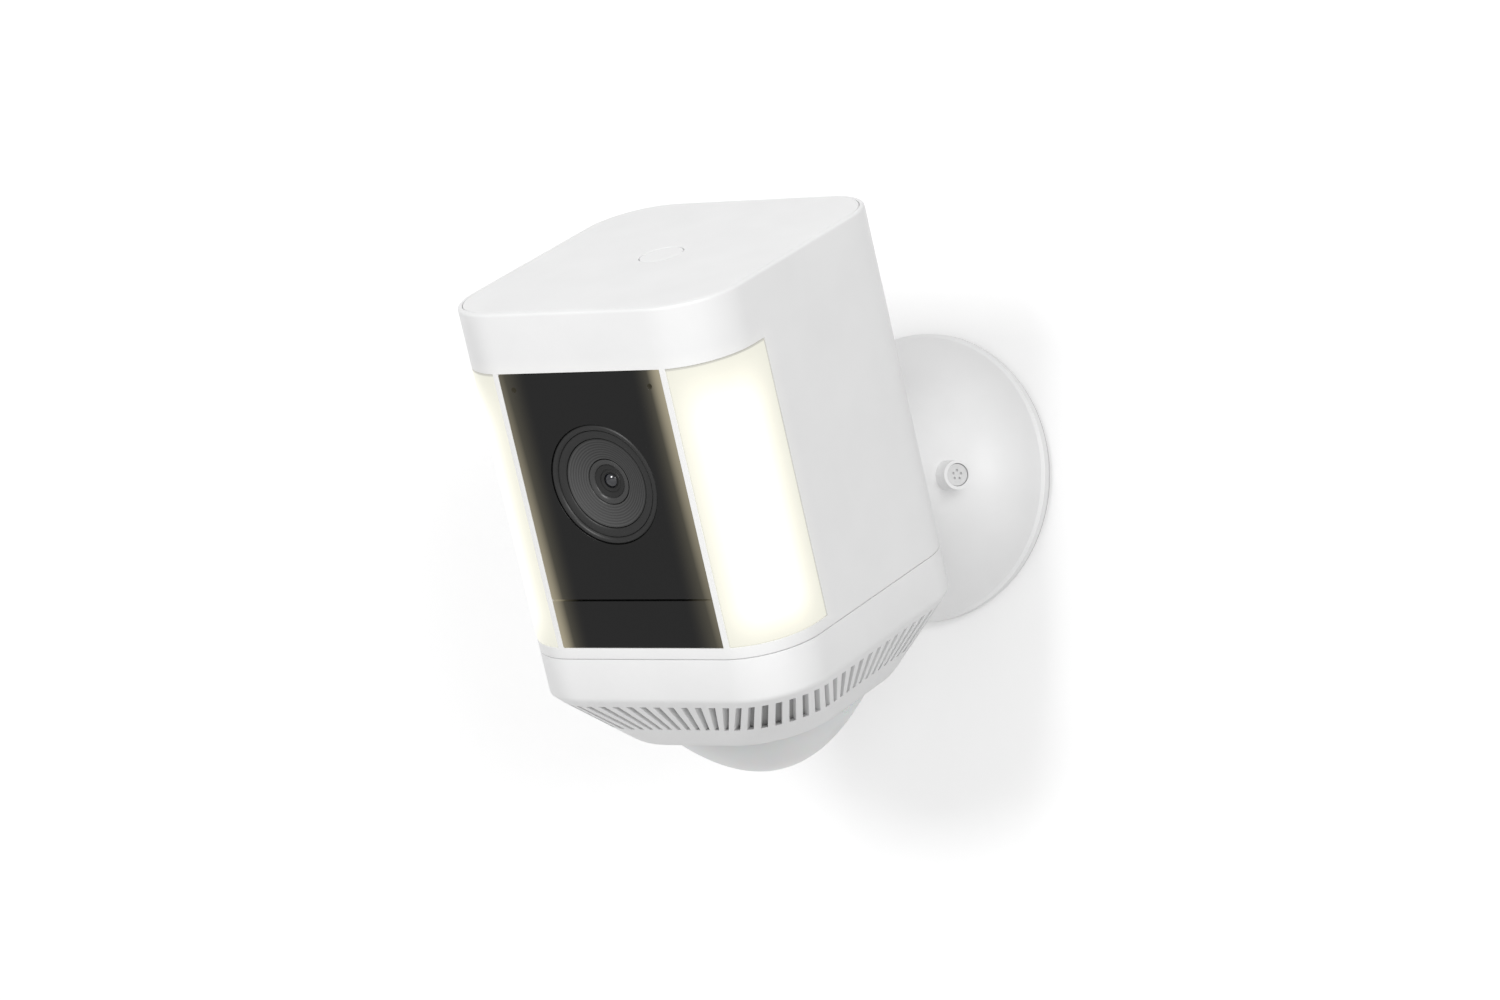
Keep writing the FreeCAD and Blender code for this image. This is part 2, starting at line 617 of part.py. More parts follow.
def make_battery_cage():
    """A box open below, with a dividing wall between the two packs."""
    walls = box("cage_walls", ("-%s - cage_wall" % CAGE_SIDE, "%s + cage_wall" % CAGE_SIDE),
                ("%s - cage_wall" % CAGE_FRONT, "%s + cage_wall" % CAGE_BACK),
                ("battery_low", "%s + cage_wall" % CAGE_TOP))
    bays = [box("cage_bay" + side, mirrored_limits(sign, "cage_wall / 2", CAGE_SIDE),
                (CAGE_FRONT, CAGE_BACK), ("battery_low - 1", CAGE_TOP)) for side, sign in SIDES]
    return cut("cage", walls, *bays)


def make_contacts():
    """Spring contact blocks above the packs."""
    blocks = []
    for index, across in enumerate(("-20.5", "-7.5", "7.5", "20.5")):
        blocks.append(box("contact%d" % index, around(across, "contact_half"), ("-46", "-38"),
                          (CAGE_TOP + " - 1.5", CAGE_TOP)))
    return fuse("contacts", *blocks)


def make_board_chips():
    """Packages on the main board's front: place across and up, width, height and thickness of each."""
    front = "-board_back - board_thickness"
    sizes = [(0, 42, 14, 14, 1.4), (-14, 24, 9, 11, 1.2), (13, 22, 10, 8, 1.6), (0, 8, 20, 7, 2.2),
             (15, 46, 6, 6, 1.0), (-14, 48, 7, 5, 1.0)]
    chips = []
    for index, (across, up, width, height, thickness) in enumerate(sizes):
        chips.append(box("chip%d" % index, around(across, width / 2),
                         ("%s - %g" % (front, thickness), front), around(up, height / 2)))
    return fuse("chips", *chips)


def make_battery(name, sign):
    """A pack with a release tab under it."""
    pack = box(name + "pack", mirrored_limits(sign, "battery_gap / 2", "battery_gap / 2 + battery_width"),
               ("-battery_back - battery_depth", "-battery_back"),
               ("battery_low", "battery_low + battery_height"))
    tab = box(name + "tab", mirrored_limits(sign, "battery_gap / 2 + 6", "battery_gap / 2 + 18"),
              ("-52", "-38"), ("battery_low - 2.5", "battery_low"))
    return fuse(name + "body", pack, tab)


def make_button_switch():
    board = box("switch_board", ("-9", "9"), (BODY_MIDDLE + " - 6", BODY_MIDDLE + " + 6"),
                ("body_top - 6.4", "body_top - 5.4"))
    dome = rod("switch_dome", "z", "2.2", "body_top - 5.4", "body_top - button_height - 0.6",
               ("0", BODY_MIDDLE))
    return fuse("switch", board, dome)


def make_setup_button():
    cap = rod("button_cap", "z", "button_radius", "body_top - cap_thickness + 0.6", "body_top",
              ("0", BODY_MIDDLE))
    stem = rod("button_stem", "z", "3.0", "body_top - button_height", "body_top - cap_thickness + 0.6",
               ("0", BODY_MIDDLE))
    return fuse("button", cap, stem)


def make_shell_seal():
    """A soft ring inside the shell's lower edge."""
    low, high = "body_bottom + 1.6", "body_bottom + 3.2"
    return cut("seal", head_block("seal_outer", "shell_wall", low, high),
               head_block("seal_inner", "shell_wall + 1.0", low, high))


node("battery_cage", make_battery_cage(), HEAD)
node("battery_contacts", make_contacts(), HEAD)
node("main_board", box("main_plate", ("-22", "22"), ("-board_back - board_thickness", "-board_back"),
                       ("-3", "57")), HEAD)
node("board_chips", make_board_chips(), HEAD)
node("wifi_antenna", box("antenna", ("-26", "-12"), ("-62", "-50"),
                          ("%s + cage_wall" % CAGE_TOP, "%s + cage_wall + 0.8" % CAGE_TOP)), HEAD)
node("button_switch", make_button_switch(), HEAD)
node("setup_button", make_setup_button(), HEAD)
node("shell_seal", make_shell_seal(), HEAD)
both_sides(make_battery, "battery", HEAD)


# ---------------------------------------------------------------- base cover with motion sensor

COVER_TOP = "body_bottom - cover_gap"


def make_slot_cutters():
    """Upright blades set evenly round the skirt, square to its outline."""
    share = value(taper_share("(slot_top + slot_bottom) / 2"))
    inset = share * value("skirt_inset")
    corner = value("body_corner") + share * (value("skirt_corner") - value("body_corner"))
    flat_x = value("body_width") / 2 - inset - corner
    flat_y = value("body_depth") / 2 - inset - corner
    # Each side runs straight from its start and then round the corner that follows it.
    sides = [(2 * flat_y, Vector(flat_x + corner, -flat_y, 0), Vector(flat_x, flat_y, 0)),
             (2 * flat_x, Vector(flat_x, flat_y + corner, 0), Vector(-flat_x, flat_y, 0)),
             (2 * flat_y, Vector(-flat_x - corner, flat_y, 0), Vector(-flat_x, -flat_y, 0)),
             (2 * flat_x, Vector(-flat_x, -flat_y - corner, 0), Vector(flat_x, -flat_y, 0))]
    round_length = math.pi / 2 * corner
    total = sum(length + round_length for length, _, _ in sides)
    count = int(value("slot_count"))
    blades = []
    for index in range(count):
        along = (index + 0.5) * total / count
        side = 0
        while along > sides[side][0] + round_length:
            along -= sides[side][0] + round_length
            side += 1
        length, start, centre = sides[side]
        angle = 90 * side + math.degrees(max(0, along - length) / corner)
        turn = FreeCAD.Rotation(AXES["z"], angle)
        if along <= length:
            place = start + turn.multVec(Vector(0, along, 0))
        else:
            place = centre + turn.multVec(Vector(corner, 0, 0))
        blades.append(slot_blade(place, turn))
    cutters = doc.addObject("Part::Feature", "slot_cutters")
    cutters.Shape = Part.makeCompound(blades)
    return cutters


def slot_blade(place, turn):
    reach, width = 12, value("slot_width")
    height = value("slot_top") - value("slot_bottom")
    blade = Part.makeBox(reach, width, height, Vector(-reach / 2, -width / 2, value("slot_bottom")))
    blade.Placement = FreeCAD.Placement(place + Vector(0, value(BODY_MIDDLE), 0), turn)
    return blade


def make_base_cover():
    """A straight ring over a tapered, slotted skirt, with a latch on either side that reaches the shell."""
    ring = head_block("base_ring", "0", "ring_bottom", COVER_TOP)
    skirt = skirt_block("base_skirt", "0", "ring_bottom", "skirt_bottom")
    ring_hollow = head_block("base_ring_hollow", "skirt_wall", "ring_bottom", "body_bottom + 1")
    skirt_hollow = skirt_block("base_skirt_hollow", "skirt_wall", "ring_bottom",
                               "skirt_bottom + skirt_wall")
    dome_hole = rod("base_dome_hole", "z", "dome_hole", "skirt_bottom - 1", "ring_bottom",
                    ("0", BODY_MIDDLE))
    shell = cut("base_shell", fuse("base_blank", ring, skirt), ring_hollow, skirt_hollow, dome_hole)
    depth = ("-latch_front", "-latch_back")
    inner = "body_width / 2 - latch_inset"
    latches = []
    for side, sign in SIDES:
        tab = mirrored_limits(sign, inner, "body_width / 2 - shell_wall - 1.2")
        shelf = mirrored_limits(sign, inner, "body_width / 2 - 1")
        latches.append(box("base_tab" + side, tab, depth, ("ring_bottom + 2", "body_bottom + 1.2")))
        latches.append(box("base_shelf" + side, shelf, depth, ("ring_bottom + 2", "ring_bottom + 4")))
    return fuse("base", cut("base_slotted", shell, make_slot_cutters()), *latches)


def make_vent_mesh():
    low, high = "slot_bottom - 1", "ring_bottom - 0.4"
    return cut("mesh", skirt_block("mesh_outer", "skirt_wall + 0.05", high, low),
               skirt_block("mesh_inner", "skirt_wall + 0.5", high, low))


def dome_curve(reach, lift):
    """The paraboloid's profile out to reach, raised by lift."""
    steps = 8
    start, height, radius = value("dome_start"), value("dome_height"), value("dome_radius")
    points = []
    for step in range(steps + 1):
        across = reach * step / steps
        points.append(Vector(across, 0, start - height * (1 - (across / radius) ** 2) + lift))
    spline = Part.BSplineCurve()
    spline.interpolate(points, InitialTangent=Vector(1, 0, 0),
                       FinalTangent=Vector(1, 0, 2 * height * reach / radius ** 2))
    return spline.toShape()


def make_dome():
    """A milky paraboloid cap over the motion sensor with a short collar inside the skirt."""
    rim, wall = value("dome_rim"), value("dome_wall")
    outside, inside = dome_curve(rim, 0), dome_curve(rim - wall, wall * 1.15)
    collar_top = value("skirt_bottom") + 3.4
    corners = [outside.Vertexes[-1].Point, Vector(rim, 0, collar_top), Vector(rim - wall, 0, collar_top),
               inside.Vertexes[-1].Point]
    lines = [Part.makeLine(first, second) for first, second in zip(corners, corners[1:])]
    axis = Part.makeLine(inside.Vertexes[0].Point, outside.Vertexes[0].Point)
    face = Part.Face(Part.Wire(Part.__sortEdges__([outside, inside, axis] + lines)))
    solid = face.revolve(Vector(), AXES["z"], 360)
    item = doc.addObject("Part::Feature", "dome")
    item.Shape = Part.Solid(solid) if solid.ShapeType != "Solid" else solid
    return item


def lower_rod(name, radius, low, high):
    return rod(name, "z", radius, low, high, ("0", BODY_MIDDLE))


DOME = HEAD * FreeCAD.Placement(Vector(0, value(BODY_MIDDLE), 0), FreeCAD.Rotation())

node("base_cover", make_base_cover(), HEAD)
node("vent_mesh", make_vent_mesh(), HEAD)
node("sensor_dome", make_dome(), DOME)
node("pir_board", lower_rod("pir_plate", "25.5", "skirt_bottom + 3.4", "skirt_bottom + 5"), HEAD)
node("pir_sensor", lower_rod("pir_can", "4.6", "skirt_bottom - 1.4", "skirt_bottom + 3.4"), HEAD)
node("siren_speaker", fuse("siren", lower_rod("siren_body", "14", "skirt_bottom + 5", "skirt_bottom + 11"),
                           lower_rod("siren_lip", "16", "skirt_bottom + 11", "skirt_bottom + 12.5")), HEAD)


# ---------------------------------------------------------------- placing, checking and writing

doc.recompute()
for item, placement in nodes.values():
    item.Placement = placement
doc.recompute()

problems = [item.Label for item in doc.Objects if {"Invalid", "Error"} & set(item.State)]
for name, (item, _) in nodes.items():
    shape = item.Shape
    if shape.isNull() or not shape.isValid() or shape.Volume <= 0:
        problems.append(name + " has no valid shape")
if problems:
    raise RuntimeError("failed: " + ", ".join(problems))

os.makedirs("parts", exist_ok=True)
for name, (item, _) in nodes.items():
    item.Shape.exportStep("parts/%s.step" % name)
print(len(nodes), "sub-parts written")
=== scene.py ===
import json
import math

import bmesh
import bpy
from mathutils import Matrix, Vector


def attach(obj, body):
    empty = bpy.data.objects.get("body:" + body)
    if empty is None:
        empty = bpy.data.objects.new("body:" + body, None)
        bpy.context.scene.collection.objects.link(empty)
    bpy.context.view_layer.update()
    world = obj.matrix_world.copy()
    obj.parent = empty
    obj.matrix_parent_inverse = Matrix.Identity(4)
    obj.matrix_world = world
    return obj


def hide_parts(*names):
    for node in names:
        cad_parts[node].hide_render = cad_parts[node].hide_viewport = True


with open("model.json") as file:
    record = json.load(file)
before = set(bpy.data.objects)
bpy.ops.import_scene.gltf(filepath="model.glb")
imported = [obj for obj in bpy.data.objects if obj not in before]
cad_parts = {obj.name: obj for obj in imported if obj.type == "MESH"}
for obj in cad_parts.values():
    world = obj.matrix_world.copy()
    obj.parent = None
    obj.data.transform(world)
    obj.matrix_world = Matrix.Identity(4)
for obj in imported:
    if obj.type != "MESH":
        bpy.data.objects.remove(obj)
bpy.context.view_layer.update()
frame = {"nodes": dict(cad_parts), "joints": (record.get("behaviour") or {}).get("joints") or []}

MM = 0.001
nodes = frame["nodes"]
joints = {joint["name"]: joint for joint in frame["joints"]}

# The head's own frame: origin at the ball's centre, x right, y towards the wall, z up the housing.
ball_centre = Vector(joints["ball_tilt"]["pos_m"])
stud_axis = Vector(joints["ball_twist"]["axis"])
HEAD = Matrix.Translation(ball_centre) @ Matrix.Rotation(math.atan2(stud_axis.z, stud_axis.y), 4, "X")


def local_box(node, place=HEAD):
    """A CAD node's lowest and highest corners in the head's own frame."""
    inverse = place.inverted()
    points = [inverse @ vertex.co for vertex in nodes[node].data.vertices]
    return (Vector([min(point[axis] for point in points) for axis in range(3)]),
            Vector([max(point[axis] for point in points) for axis in range(3)]))


# ------------------------------------------------------------ mesh helpers; local sizes are in millimetres

CORNER = 16.3          # radius of the housing's upright corners
CORNER_GROWTH = 1.3    # how much that radius grows down the skirt
SHELL_WALL = 2.2
RIM_WALL = 1.15        # the shell's visible rim round the top cap
SEAM = 0.14            # half of the gap between neighbouring panels

shell_low, shell_high = (corner / MM for corner in local_box("main_shell"))
panel_low, panel_high = (corner / MM for corner in local_box("upper_front_panel"))
light_low, light_high = (corner / MM for corner in local_box("diffuser_right"))
cover_low = local_box("base_cover")[0] / MM
button_low, button_high = (corner / MM for corner in local_box("setup_button"))
lower_low, lower_high = (corner / MM for corner in local_box("lower_front_panel"))

HALF_WIDTH = shell_high.x
HALF_DEPTH = (shell_high.y - shell_low.y) / 2
MIDDLE_Y = (shell_high.y + shell_low.y) / 2
TOP, BOTTOM = shell_high.z, shell_low.z
PANEL_X = round(panel_high.x, 1)
LIGHT_X = light_low.x
LIGHT_Y = light_high.y + SEAM
OPENING_LOW, OPENING_HIGH = light_low.z - 0.05, light_high.z + 0.05


class Station:
    """A place on the rounded section: a share of the flat part of each side, and the outward normal."""

    def __init__(self, share_x, share_y, angle):
        self.share_x, self.share_y = share_x, share_y
        self.normal = Vector((math.cos(angle), math.sin(angle)))

    def mirrored(self):
        twin = Station(-self.share_x, self.share_y, 0)
        twin.normal = Vector((-self.normal.x, self.normal.y))
        return twin

    def at(self, inset, height, taper=0.0, skirt_inset=0.0):
        radius = CORNER + taper * CORNER_GROWTH
        flat_x = HALF_WIDTH - taper * skirt_inset - radius
        flat_y = HALF_DEPTH - taper * skirt_inset - radius
        return Vector((self.share_x * flat_x + self.normal.x * (radius - inset),
                       MIDDLE_Y + self.share_y * flat_y + self.normal.y * (radius - inset), height))


def body_stations():
    """Stations anticlockwise from the middle of the front, with the ones where the front is divided."""
    flat_x, flat_y = HALF_WIDTH - CORNER, HALF_DEPTH - CORNER
    panel_angle = math.degrees(math.asin((PANEL_X - flat_x) / CORNER))
    light_angle = math.degrees(math.asin((LIGHT_X - flat_x) / CORNER))
    half = [Station(share, -1, math.radians(-90)) for share in (0, 0.25, 0.5, 0.75, 1.0)]
    marks = {}
    bend = 90 - light_angle
    angles = [panel_angle, light_angle] + [light_angle + bend * step / 20 for step in range(1, 21)]
    for angle in angles:
        if angle == panel_angle:
            marks["panel"] = len(half)
        if angle == light_angle:
            marks["light"] = len(half)
        half.append(Station(1, -1, math.radians(angle - 90)))
    marks["side"] = len(half)
    half.append(Station(1, (LIGHT_Y - MIDDLE_Y) / flat_y, 0))
    half += [Station(1, share, 0) for share in (-0.4, 0, 0.4)]
    half += [Station(1, 1, math.radians(90 * step / 20)) for step in range(21)]
    half += [Station(share, 1, math.radians(90)) for share in (0.75, 0.5, 0.25)]
    back = Station(0, 1, math.radians(90))
    return half + [back] + [station.mirrored() for station in reversed(half[1:])], marks


STATIONS, MARKS = body_stations()
COUNT = len(STATIONS)


def opposite(index):
    return (COUNT - index) % COUNT


def finish_mesh(name, bm, material, body, place, slot=None, replaces=(), bevel=0.0, angle=38):
    """Turns a bmesh in millimetres into a smooth-shaded piece in its place, riding on its body."""
    bmesh.ops.remove_doubles(bm, verts=bm.verts, dist=1e-4)
    bmesh.ops.recalc_face_normals(bm, faces=bm.faces)
    bmesh.ops.scale(bm, vec=(MM, MM, MM), verts=bm.verts)
    mesh = bpy.data.meshes.new(name)
    bm.to_mesh(mesh)
    bm.free()
    for polygon in mesh.polygons:
        polygon.use_smooth = True
    if not bevel:
        mesh.set_sharp_from_angle(angle=math.radians(angle))
    mesh.materials.append(material)
    piece = bpy.data.objects.new(name, mesh)
    bpy.context.scene.collection.objects.link(piece)
    piece.matrix_world = place
    if bevel:
        soften(piece, bevel, angle)
    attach(piece, body)
    if replaces:
        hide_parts(*replaces)
    return piece


def soften(piece, width, angle=38, segments=3):
    bevel = piece.modifiers.new("soft_edges", "BEVEL")
    bevel.width = width * MM
    bevel.segments = segments
    bevel.limit_method = "ANGLE"
    bevel.angle_limit = math.radians(angle)
    bevel.harden_normals = True


def add_grid(bm, rows, closed=True, looped=False, skip=lambda row, column: False):
    """Quads between rows of points. closed joins each row's ends, looped joins the last row to the first."""
    grid = [[bm.verts.new(point) for point in row] for row in rows]
    row_pairs = len(rows) if looped else len(rows) - 1
    columns = len(rows[0]) if closed else len(rows[0]) - 1
    for row in range(row_pairs):
        for column in range(columns):
            if not skip(row, column):
                upper, lower = grid[(row + 1) % len(rows)], grid[row]
                after = (column + 1) % len(rows[0])
                bm.faces.new((lower[column], lower[after], upper[after], upper[column]))
    return grid


def section_row(inset, height, stations=STATIONS):
    return [station.at(inset, height) for station in stations]


def circle_row(radius, height, stations=STATIONS):
    """A circle round the housing's middle with one point for each station."""
    row = []
    for station in stations:
        place = station.at(0, height)
        angle = math.atan2(place.y - MIDDLE_Y, place.x)
        row.append(Vector((radius * math.cos(angle), MIDDLE_Y + radius * math.sin(angle), height)))
    return row


def rounding(inset, height, radius, start, end, steps=5):
    """(inset, height) pairs on an arc round a centre, from start to end degrees; 0 is outward and 90 up."""
    pairs = []
    for step in range(steps + 1):
        angle = math.radians(start + (end - start) * step / steps)
        pairs.append((inset - radius * math.cos(angle), height + radius * math.sin(angle)))
    return pairs


def lathe(name, profile, material, body, place, steps=96, looped=True, **settings):
    """Turns (radius, depth) pairs round the y axis of place. A looped profile is closed on itself."""
    bm = bmesh.new()
    rows = []
    for radius, depth in profile:
        rows.append([Vector((radius * math.cos(2 * math.pi * step / steps), depth,
                             radius * math.sin(2 * math.pi * step / steps))) for step in range(steps)])
    add_grid(bm, rows, looped=looped)
    bmesh.ops.dissolve_degenerate(bm, dist=1e-5, edges=bm.edges)
    return finish_mesh(name, bm, material, body, place, **settings)


# ------------------------------------------------------------ materials

class Shader:
    """A node material with one Principled shader and short ways to add procedural detail to it."""

    def __init__(self, name, **settings):
        self.material = bpy.data.materials.new(name)
        self.material.use_nodes = True
        self.tree = self.material.node_tree
        self.shader = self.tree.nodes["Principled BSDF"]
        for socket, setting in settings.items():
            self.shader.inputs[socket.replace("_", " ")].default_value = setting
        self.position = self.add("ShaderNodeTexCoord").outputs["Object"]

    def add(self, kind, **settings):
        node = self.tree.nodes.new(kind)
        for name, setting in settings.items():
            setattr(node, name, setting)
        return node

    def link(self, source, target):
        self.tree.links.new(source, target)

    def noise(self, scale, detail=3.0, stretch=(1, 1, 1)):
        mapping = self.add("ShaderNodeMapping")
        mapping.inputs["Scale"].default_value = stretch
        self.link(self.position, mapping.inputs["Vector"])
        noise = self.add("ShaderNodeTexNoise")
        noise.inputs["Scale"].default_value = scale
        noise.inputs["Detail"].default_value = detail
        self.link(mapping.outputs["Vector"], noise.inputs["Vector"])
        return noise.outputs["Fac"]

    def spread(self, source, low, high, start=0.3, end=0.7):
        """Maps source from start-end to low-high."""
        ramp = self.add("ShaderNodeMapRange")
        for name, setting in (("From Min", start), ("From Max", end), ("To Min", low), ("To Max", high)):
            ramp.inputs[name].default_value = setting
        self.link(source, ramp.inputs["Value"])
        return ramp.outputs["Result"]

    def colours(self, source, *stops):
        ramp = self.add("ShaderNodeValToRGB")
        while len(ramp.color_ramp.elements) < len(stops):
            ramp.color_ramp.elements.new(0.5)
        for element, (place, colour) in zip(ramp.color_ramp.elements, stops):
            element.position = place
            element.color = (*colour, 1)
        self.link(source, ramp.inputs["Fac"])
        return ramp.outputs["Color"]

    def maths(self, operation, *inputs):
        node = self.add("ShaderNodeMath", operation=operation, use_clamp=False)
        for socket, source in zip(node.inputs, inputs):
            if isinstance(source, (int, float)):
                socket.default_value = source
            else:
                self.link(source, socket)
        return node.outputs["Value"]

    def axis(self, name):
        """The object coordinate X, Y or Z in metres."""
        parts = self.add("ShaderNodeSeparateXYZ")
        self.link(self.position, parts.inputs["Vector"])
        return parts.outputs[name]

    def fade(self, source, start, end):
        """1 at start, 0 at end, smooth between; both in metres."""
        ramp = self.add("ShaderNodeMapRange", interpolation_type="SMOOTHSTEP")
        for name, setting in (("From Min", start), ("From Max", end), ("To Min", 1.0), ("To Max", 0.0)):
            ramp.inputs[name].default_value = setting
        self.link(source, ramp.inputs["Value"])
        return ramp.outputs["Result"]

    def glow(self, source, *stops, strength=1.0):
        """Light given off, by colour stops along source."""
        self.link(self.colours(source, *stops), self.shader.inputs["Emission Color"])
        self.shader.inputs["Emission Strength"].default_value = strength
        return self

    def vary_colour(self, first, second, scale, detail=3.0, stretch=(1, 1, 1)):
        colour = self.colours(self.noise(scale, detail, stretch), (0.35, first), (0.65, second))
        self.link(colour, self.shader.inputs["Base Color"])
        return self

    def vary_roughness(self, low, high, scale):
        self.link(self.spread(self.noise(scale), low, high), self.shader.inputs["Roughness"])
        return self

    def grain(self, scale, height, stretch=(1, 1, 1)):
        """A fine raised grain; height is in metres."""
        bump = self.add("ShaderNodeBump")
        bump.inputs["Distance"].default_value = height
        self.link(self.noise(scale, 2.0, stretch), bump.inputs["Height"])
        self.link(bump.outputs["Normal"], self.shader.inputs["Normal"])
        return self


def grey(level, warm=0.0):
    return (level * (1 + warm), level, level * (1 - warm))


def moulded(name, level, rough, grain=2.0e-6, scale=2600, warm=0.0, **settings):
    """Injection-moulded plastic: an even colour with faint clouding, fine grain and uneven gloss."""
    shader = Shader(name, **settings)
    shader.vary_colour(grey(level * 0.975, warm), grey(level, warm), 60)
    shader.vary_roughness(rough * 0.9, rough * 1.12, 90)
    return shader.grain(scale, grain)


def metal(name, level, rough, stretch=(1, 1, 14)):
    shader = Shader(name, Metallic=1.0)
    shader.vary_colour(grey(level * 0.85), grey(level), 900, stretch=stretch)
    shader.vary_roughness(rough * 0.8, rough * 1.25, 300)
    return shader.grain(1500, 1.5e-6, stretch)


def paint(material, *names):
    for name in names:
        target = nodes[name] if isinstance(name, str) else name
        target.data.materials.clear()
        target.data.materials.append(material)


shell_white = moulded("shell_white", 0.86, 0.34).material
mount_white = moulded("mount_white", 0.93, 0.42, grain=4.0e-6, scale=1800).material
plate_white = moulded("plate_white", 0.7, 0.5).material
black_gloss = moulded("black_gloss", 0.012, 0.13, grain=3.0e-7).material
rubber_black = moulded("rubber_black", 0.02, 0.7, grain=8.0e-6).material
lens_black = moulded("lens_black", 0.018, 0.36, grain=3.0e-7).material
lens_grey = moulded("lens_grey", 0.045, 0.28, grain=1.0e-6).material
chip_black = moulded("chip_black", 0.02, 0.45, grain=4.0e-6).material
cage_grey = moulded("cage_grey", 0.06, 0.5, grain=6.0e-6).material
battery_dark = moulded("battery_dark", 0.03, 0.42, grain=6.0e-6).material
speaker_dark = moulded("speaker_dark", 0.02, 0.6, grain=9.0e-6).material
dome_milk = moulded("dome_milk", 0.78, 0.3, grain=1.0e-6, Subsurface_Weight=0.3,
                    Subsurface_Scale=0.004).material
steel = metal("steel", 0.55, 0.3).material
dark_steel = metal("dark_steel", 0.2, 0.35).material
aluminium = metal("aluminium", 0.7, 0.35).material
brass_shader = metal("brass", 0.6, 0.3)
brass_shader.vary_colour((0.72, 0.5, 0.2), (0.85, 0.62, 0.28), 800)
brass = brass_shader.material
board_shader = moulded("board_green", 0.05, 0.4)
board_shader.vary_colour((0.01, 0.07, 0.03), (0.015, 0.1, 0.045), 700, 5.0)
board_green = board_shader.material
phosphor = moulded("phosphor", 0.7, 0.4, warm=0.25).material
glass_dark = Shader("glass_dark", Base_Color=(0.01, 0.012, 0.02, 1), Roughness=0.03, IOR=1.6,
                    Coat_Weight=1.0, Coat_Roughness=0.02).grain(400, 1e-7).material


def light_cover():
    """Milky plastic lit from behind, creamier towards its edges, with a fine outline at top and rear."""
    shader = Shader("light_face", Base_Color=(0.3, 0.29, 0.26, 1), Roughness=0.4)
    from_middle = shader.maths("ABSOLUTE", shader.axis("X"))
    height = shader.axis("Z")
    front = shader.fade(from_middle, (LIGHT_X + 9) * MM, (LIGHT_X - 3) * MM)
    rear = shader.fade(shader.axis("Y"), (LIGHT_Y - 12) * MM, (LIGHT_Y + 1.5) * MM)
    above = shader.fade(height, (OPENING_HIGH - 15) * MM, (OPENING_HIGH + 3) * MM)
    below = shader.fade(height, (OPENING_LOW + 10) * MM, (OPENING_LOW - 3) * MM)
    across = shader.maths("MULTIPLY", front, rear)
    brightness = shader.maths("MULTIPLY", across, shader.maths("MULTIPLY", above, below))
    rear_line = shader.fade(shader.axis("Y"), (LIGHT_Y - 0.75) * MM, (LIGHT_Y - 0.3) * MM)
    top_line = shader.fade(height, (OPENING_HIGH - 0.75) * MM, (OPENING_HIGH - 0.3) * MM)
    outline = shader.maths("MULTIPLY", rear_line, top_line)
    level = shader.maths("MULTIPLY", shader.maths("MULTIPLY_ADD", brightness, 0.9, 0.1), outline)
    shader.glow(level, (0.0, (0.3, 0.3, 0.27)), (0.1, (0.54, 0.54, 0.47)), (0.46, (0.69, 0.68, 0.59)),
                (0.91, (0.9, 0.88, 0.81)))
    return shader.grain(1800, 1e-6).material


def shell_with_painted_glow():
    """White shell plastic with a faint warm painted glow beside the lights, standing in for their light
    coming through the shell.
    """
    shader = moulded("shell_lit", 0.86, 0.34)
    behind = shader.fade(shader.axis("Y"), LIGHT_Y * MM, (LIGHT_Y + 4) * MM)
    height = shader.axis("Z")
    above = shader.fade(height, OPENING_HIGH * MM, (OPENING_HIGH + 4) * MM)
    below = shader.fade(height, OPENING_LOW * MM, (OPENING_LOW - 3) * MM)
    amount = shader.maths("MULTIPLY", behind, shader.maths("MULTIPLY", above, below))
    # Painted glow: the shell gives off light beside the openings although it is no lamp.
    shader.glow(amount, (0.0, (0, 0, 0)), (1.0, (0.025, 0.023, 0.018)))
    return shader.material


def panel_with_painted_glow():
    """Gloss black with a painted glow at both upright edges, standing in for the lights' light, most at upper
    right and lower left.
    """
    shader = moulded("panel_black", 0.008, 0.2, grain=3.0e-7, Specular_IOR_Level=0.3)
    from_edge = shader.maths("ABSOLUTE", shader.axis("X"))
    amount = shader.fade(from_edge, (PANEL_X + 0.5) * MM, (PANEL_X - 8.5) * MM)
    middle, half = (OPENING_HIGH + OPENING_LOW) / 2 * MM, (OPENING_HIGH - OPENING_LOW) / 2 * MM
    # Painted light: the edge glow is made stronger at upper right and lower left.
    painted_glow_diagonal = shader.maths("MULTIPLY", shader.axis("X"), shader.maths("SUBTRACT", shader.axis("Z"), middle))
    level = shader.maths("MULTIPLY", shader.maths("POWER", amount, 1.25),
                         shader.maths("MULTIPLY_ADD", painted_glow_diagonal, 0.22 / (PANEL_X * MM * half), 0.83))
    # Painted glow: the black panel gives off light although it is no lamp.
    shader.glow(level, (0.0, (0, 0, 0)), (0.5, (0.05, 0.045, 0.031)), (1.0, (0.36, 0.32, 0.225)))
    return shader.material


light_face = light_cover()
shell_lit = shell_with_painted_glow()
panel_black = panel_with_painted_glow()
base_white = moulded("base_white", 0.84, 0.36).material
button_white = moulded("button_white", 0.86, 0.32).material
mesh_grey = moulded("mesh_grey", 0.36, 0.6, grain=2.0e-5, scale=5000).material
screw_white = moulded("screw_white", 0.78, 0.35, grain=3.0e-6).material


CONE_OUTER, CONE_INNER = 10.86, 5.5
GROOVES = 8
GROOVE_PITCH = (CONE_OUTER - 0.3 - CONE_INNER) / GROOVES


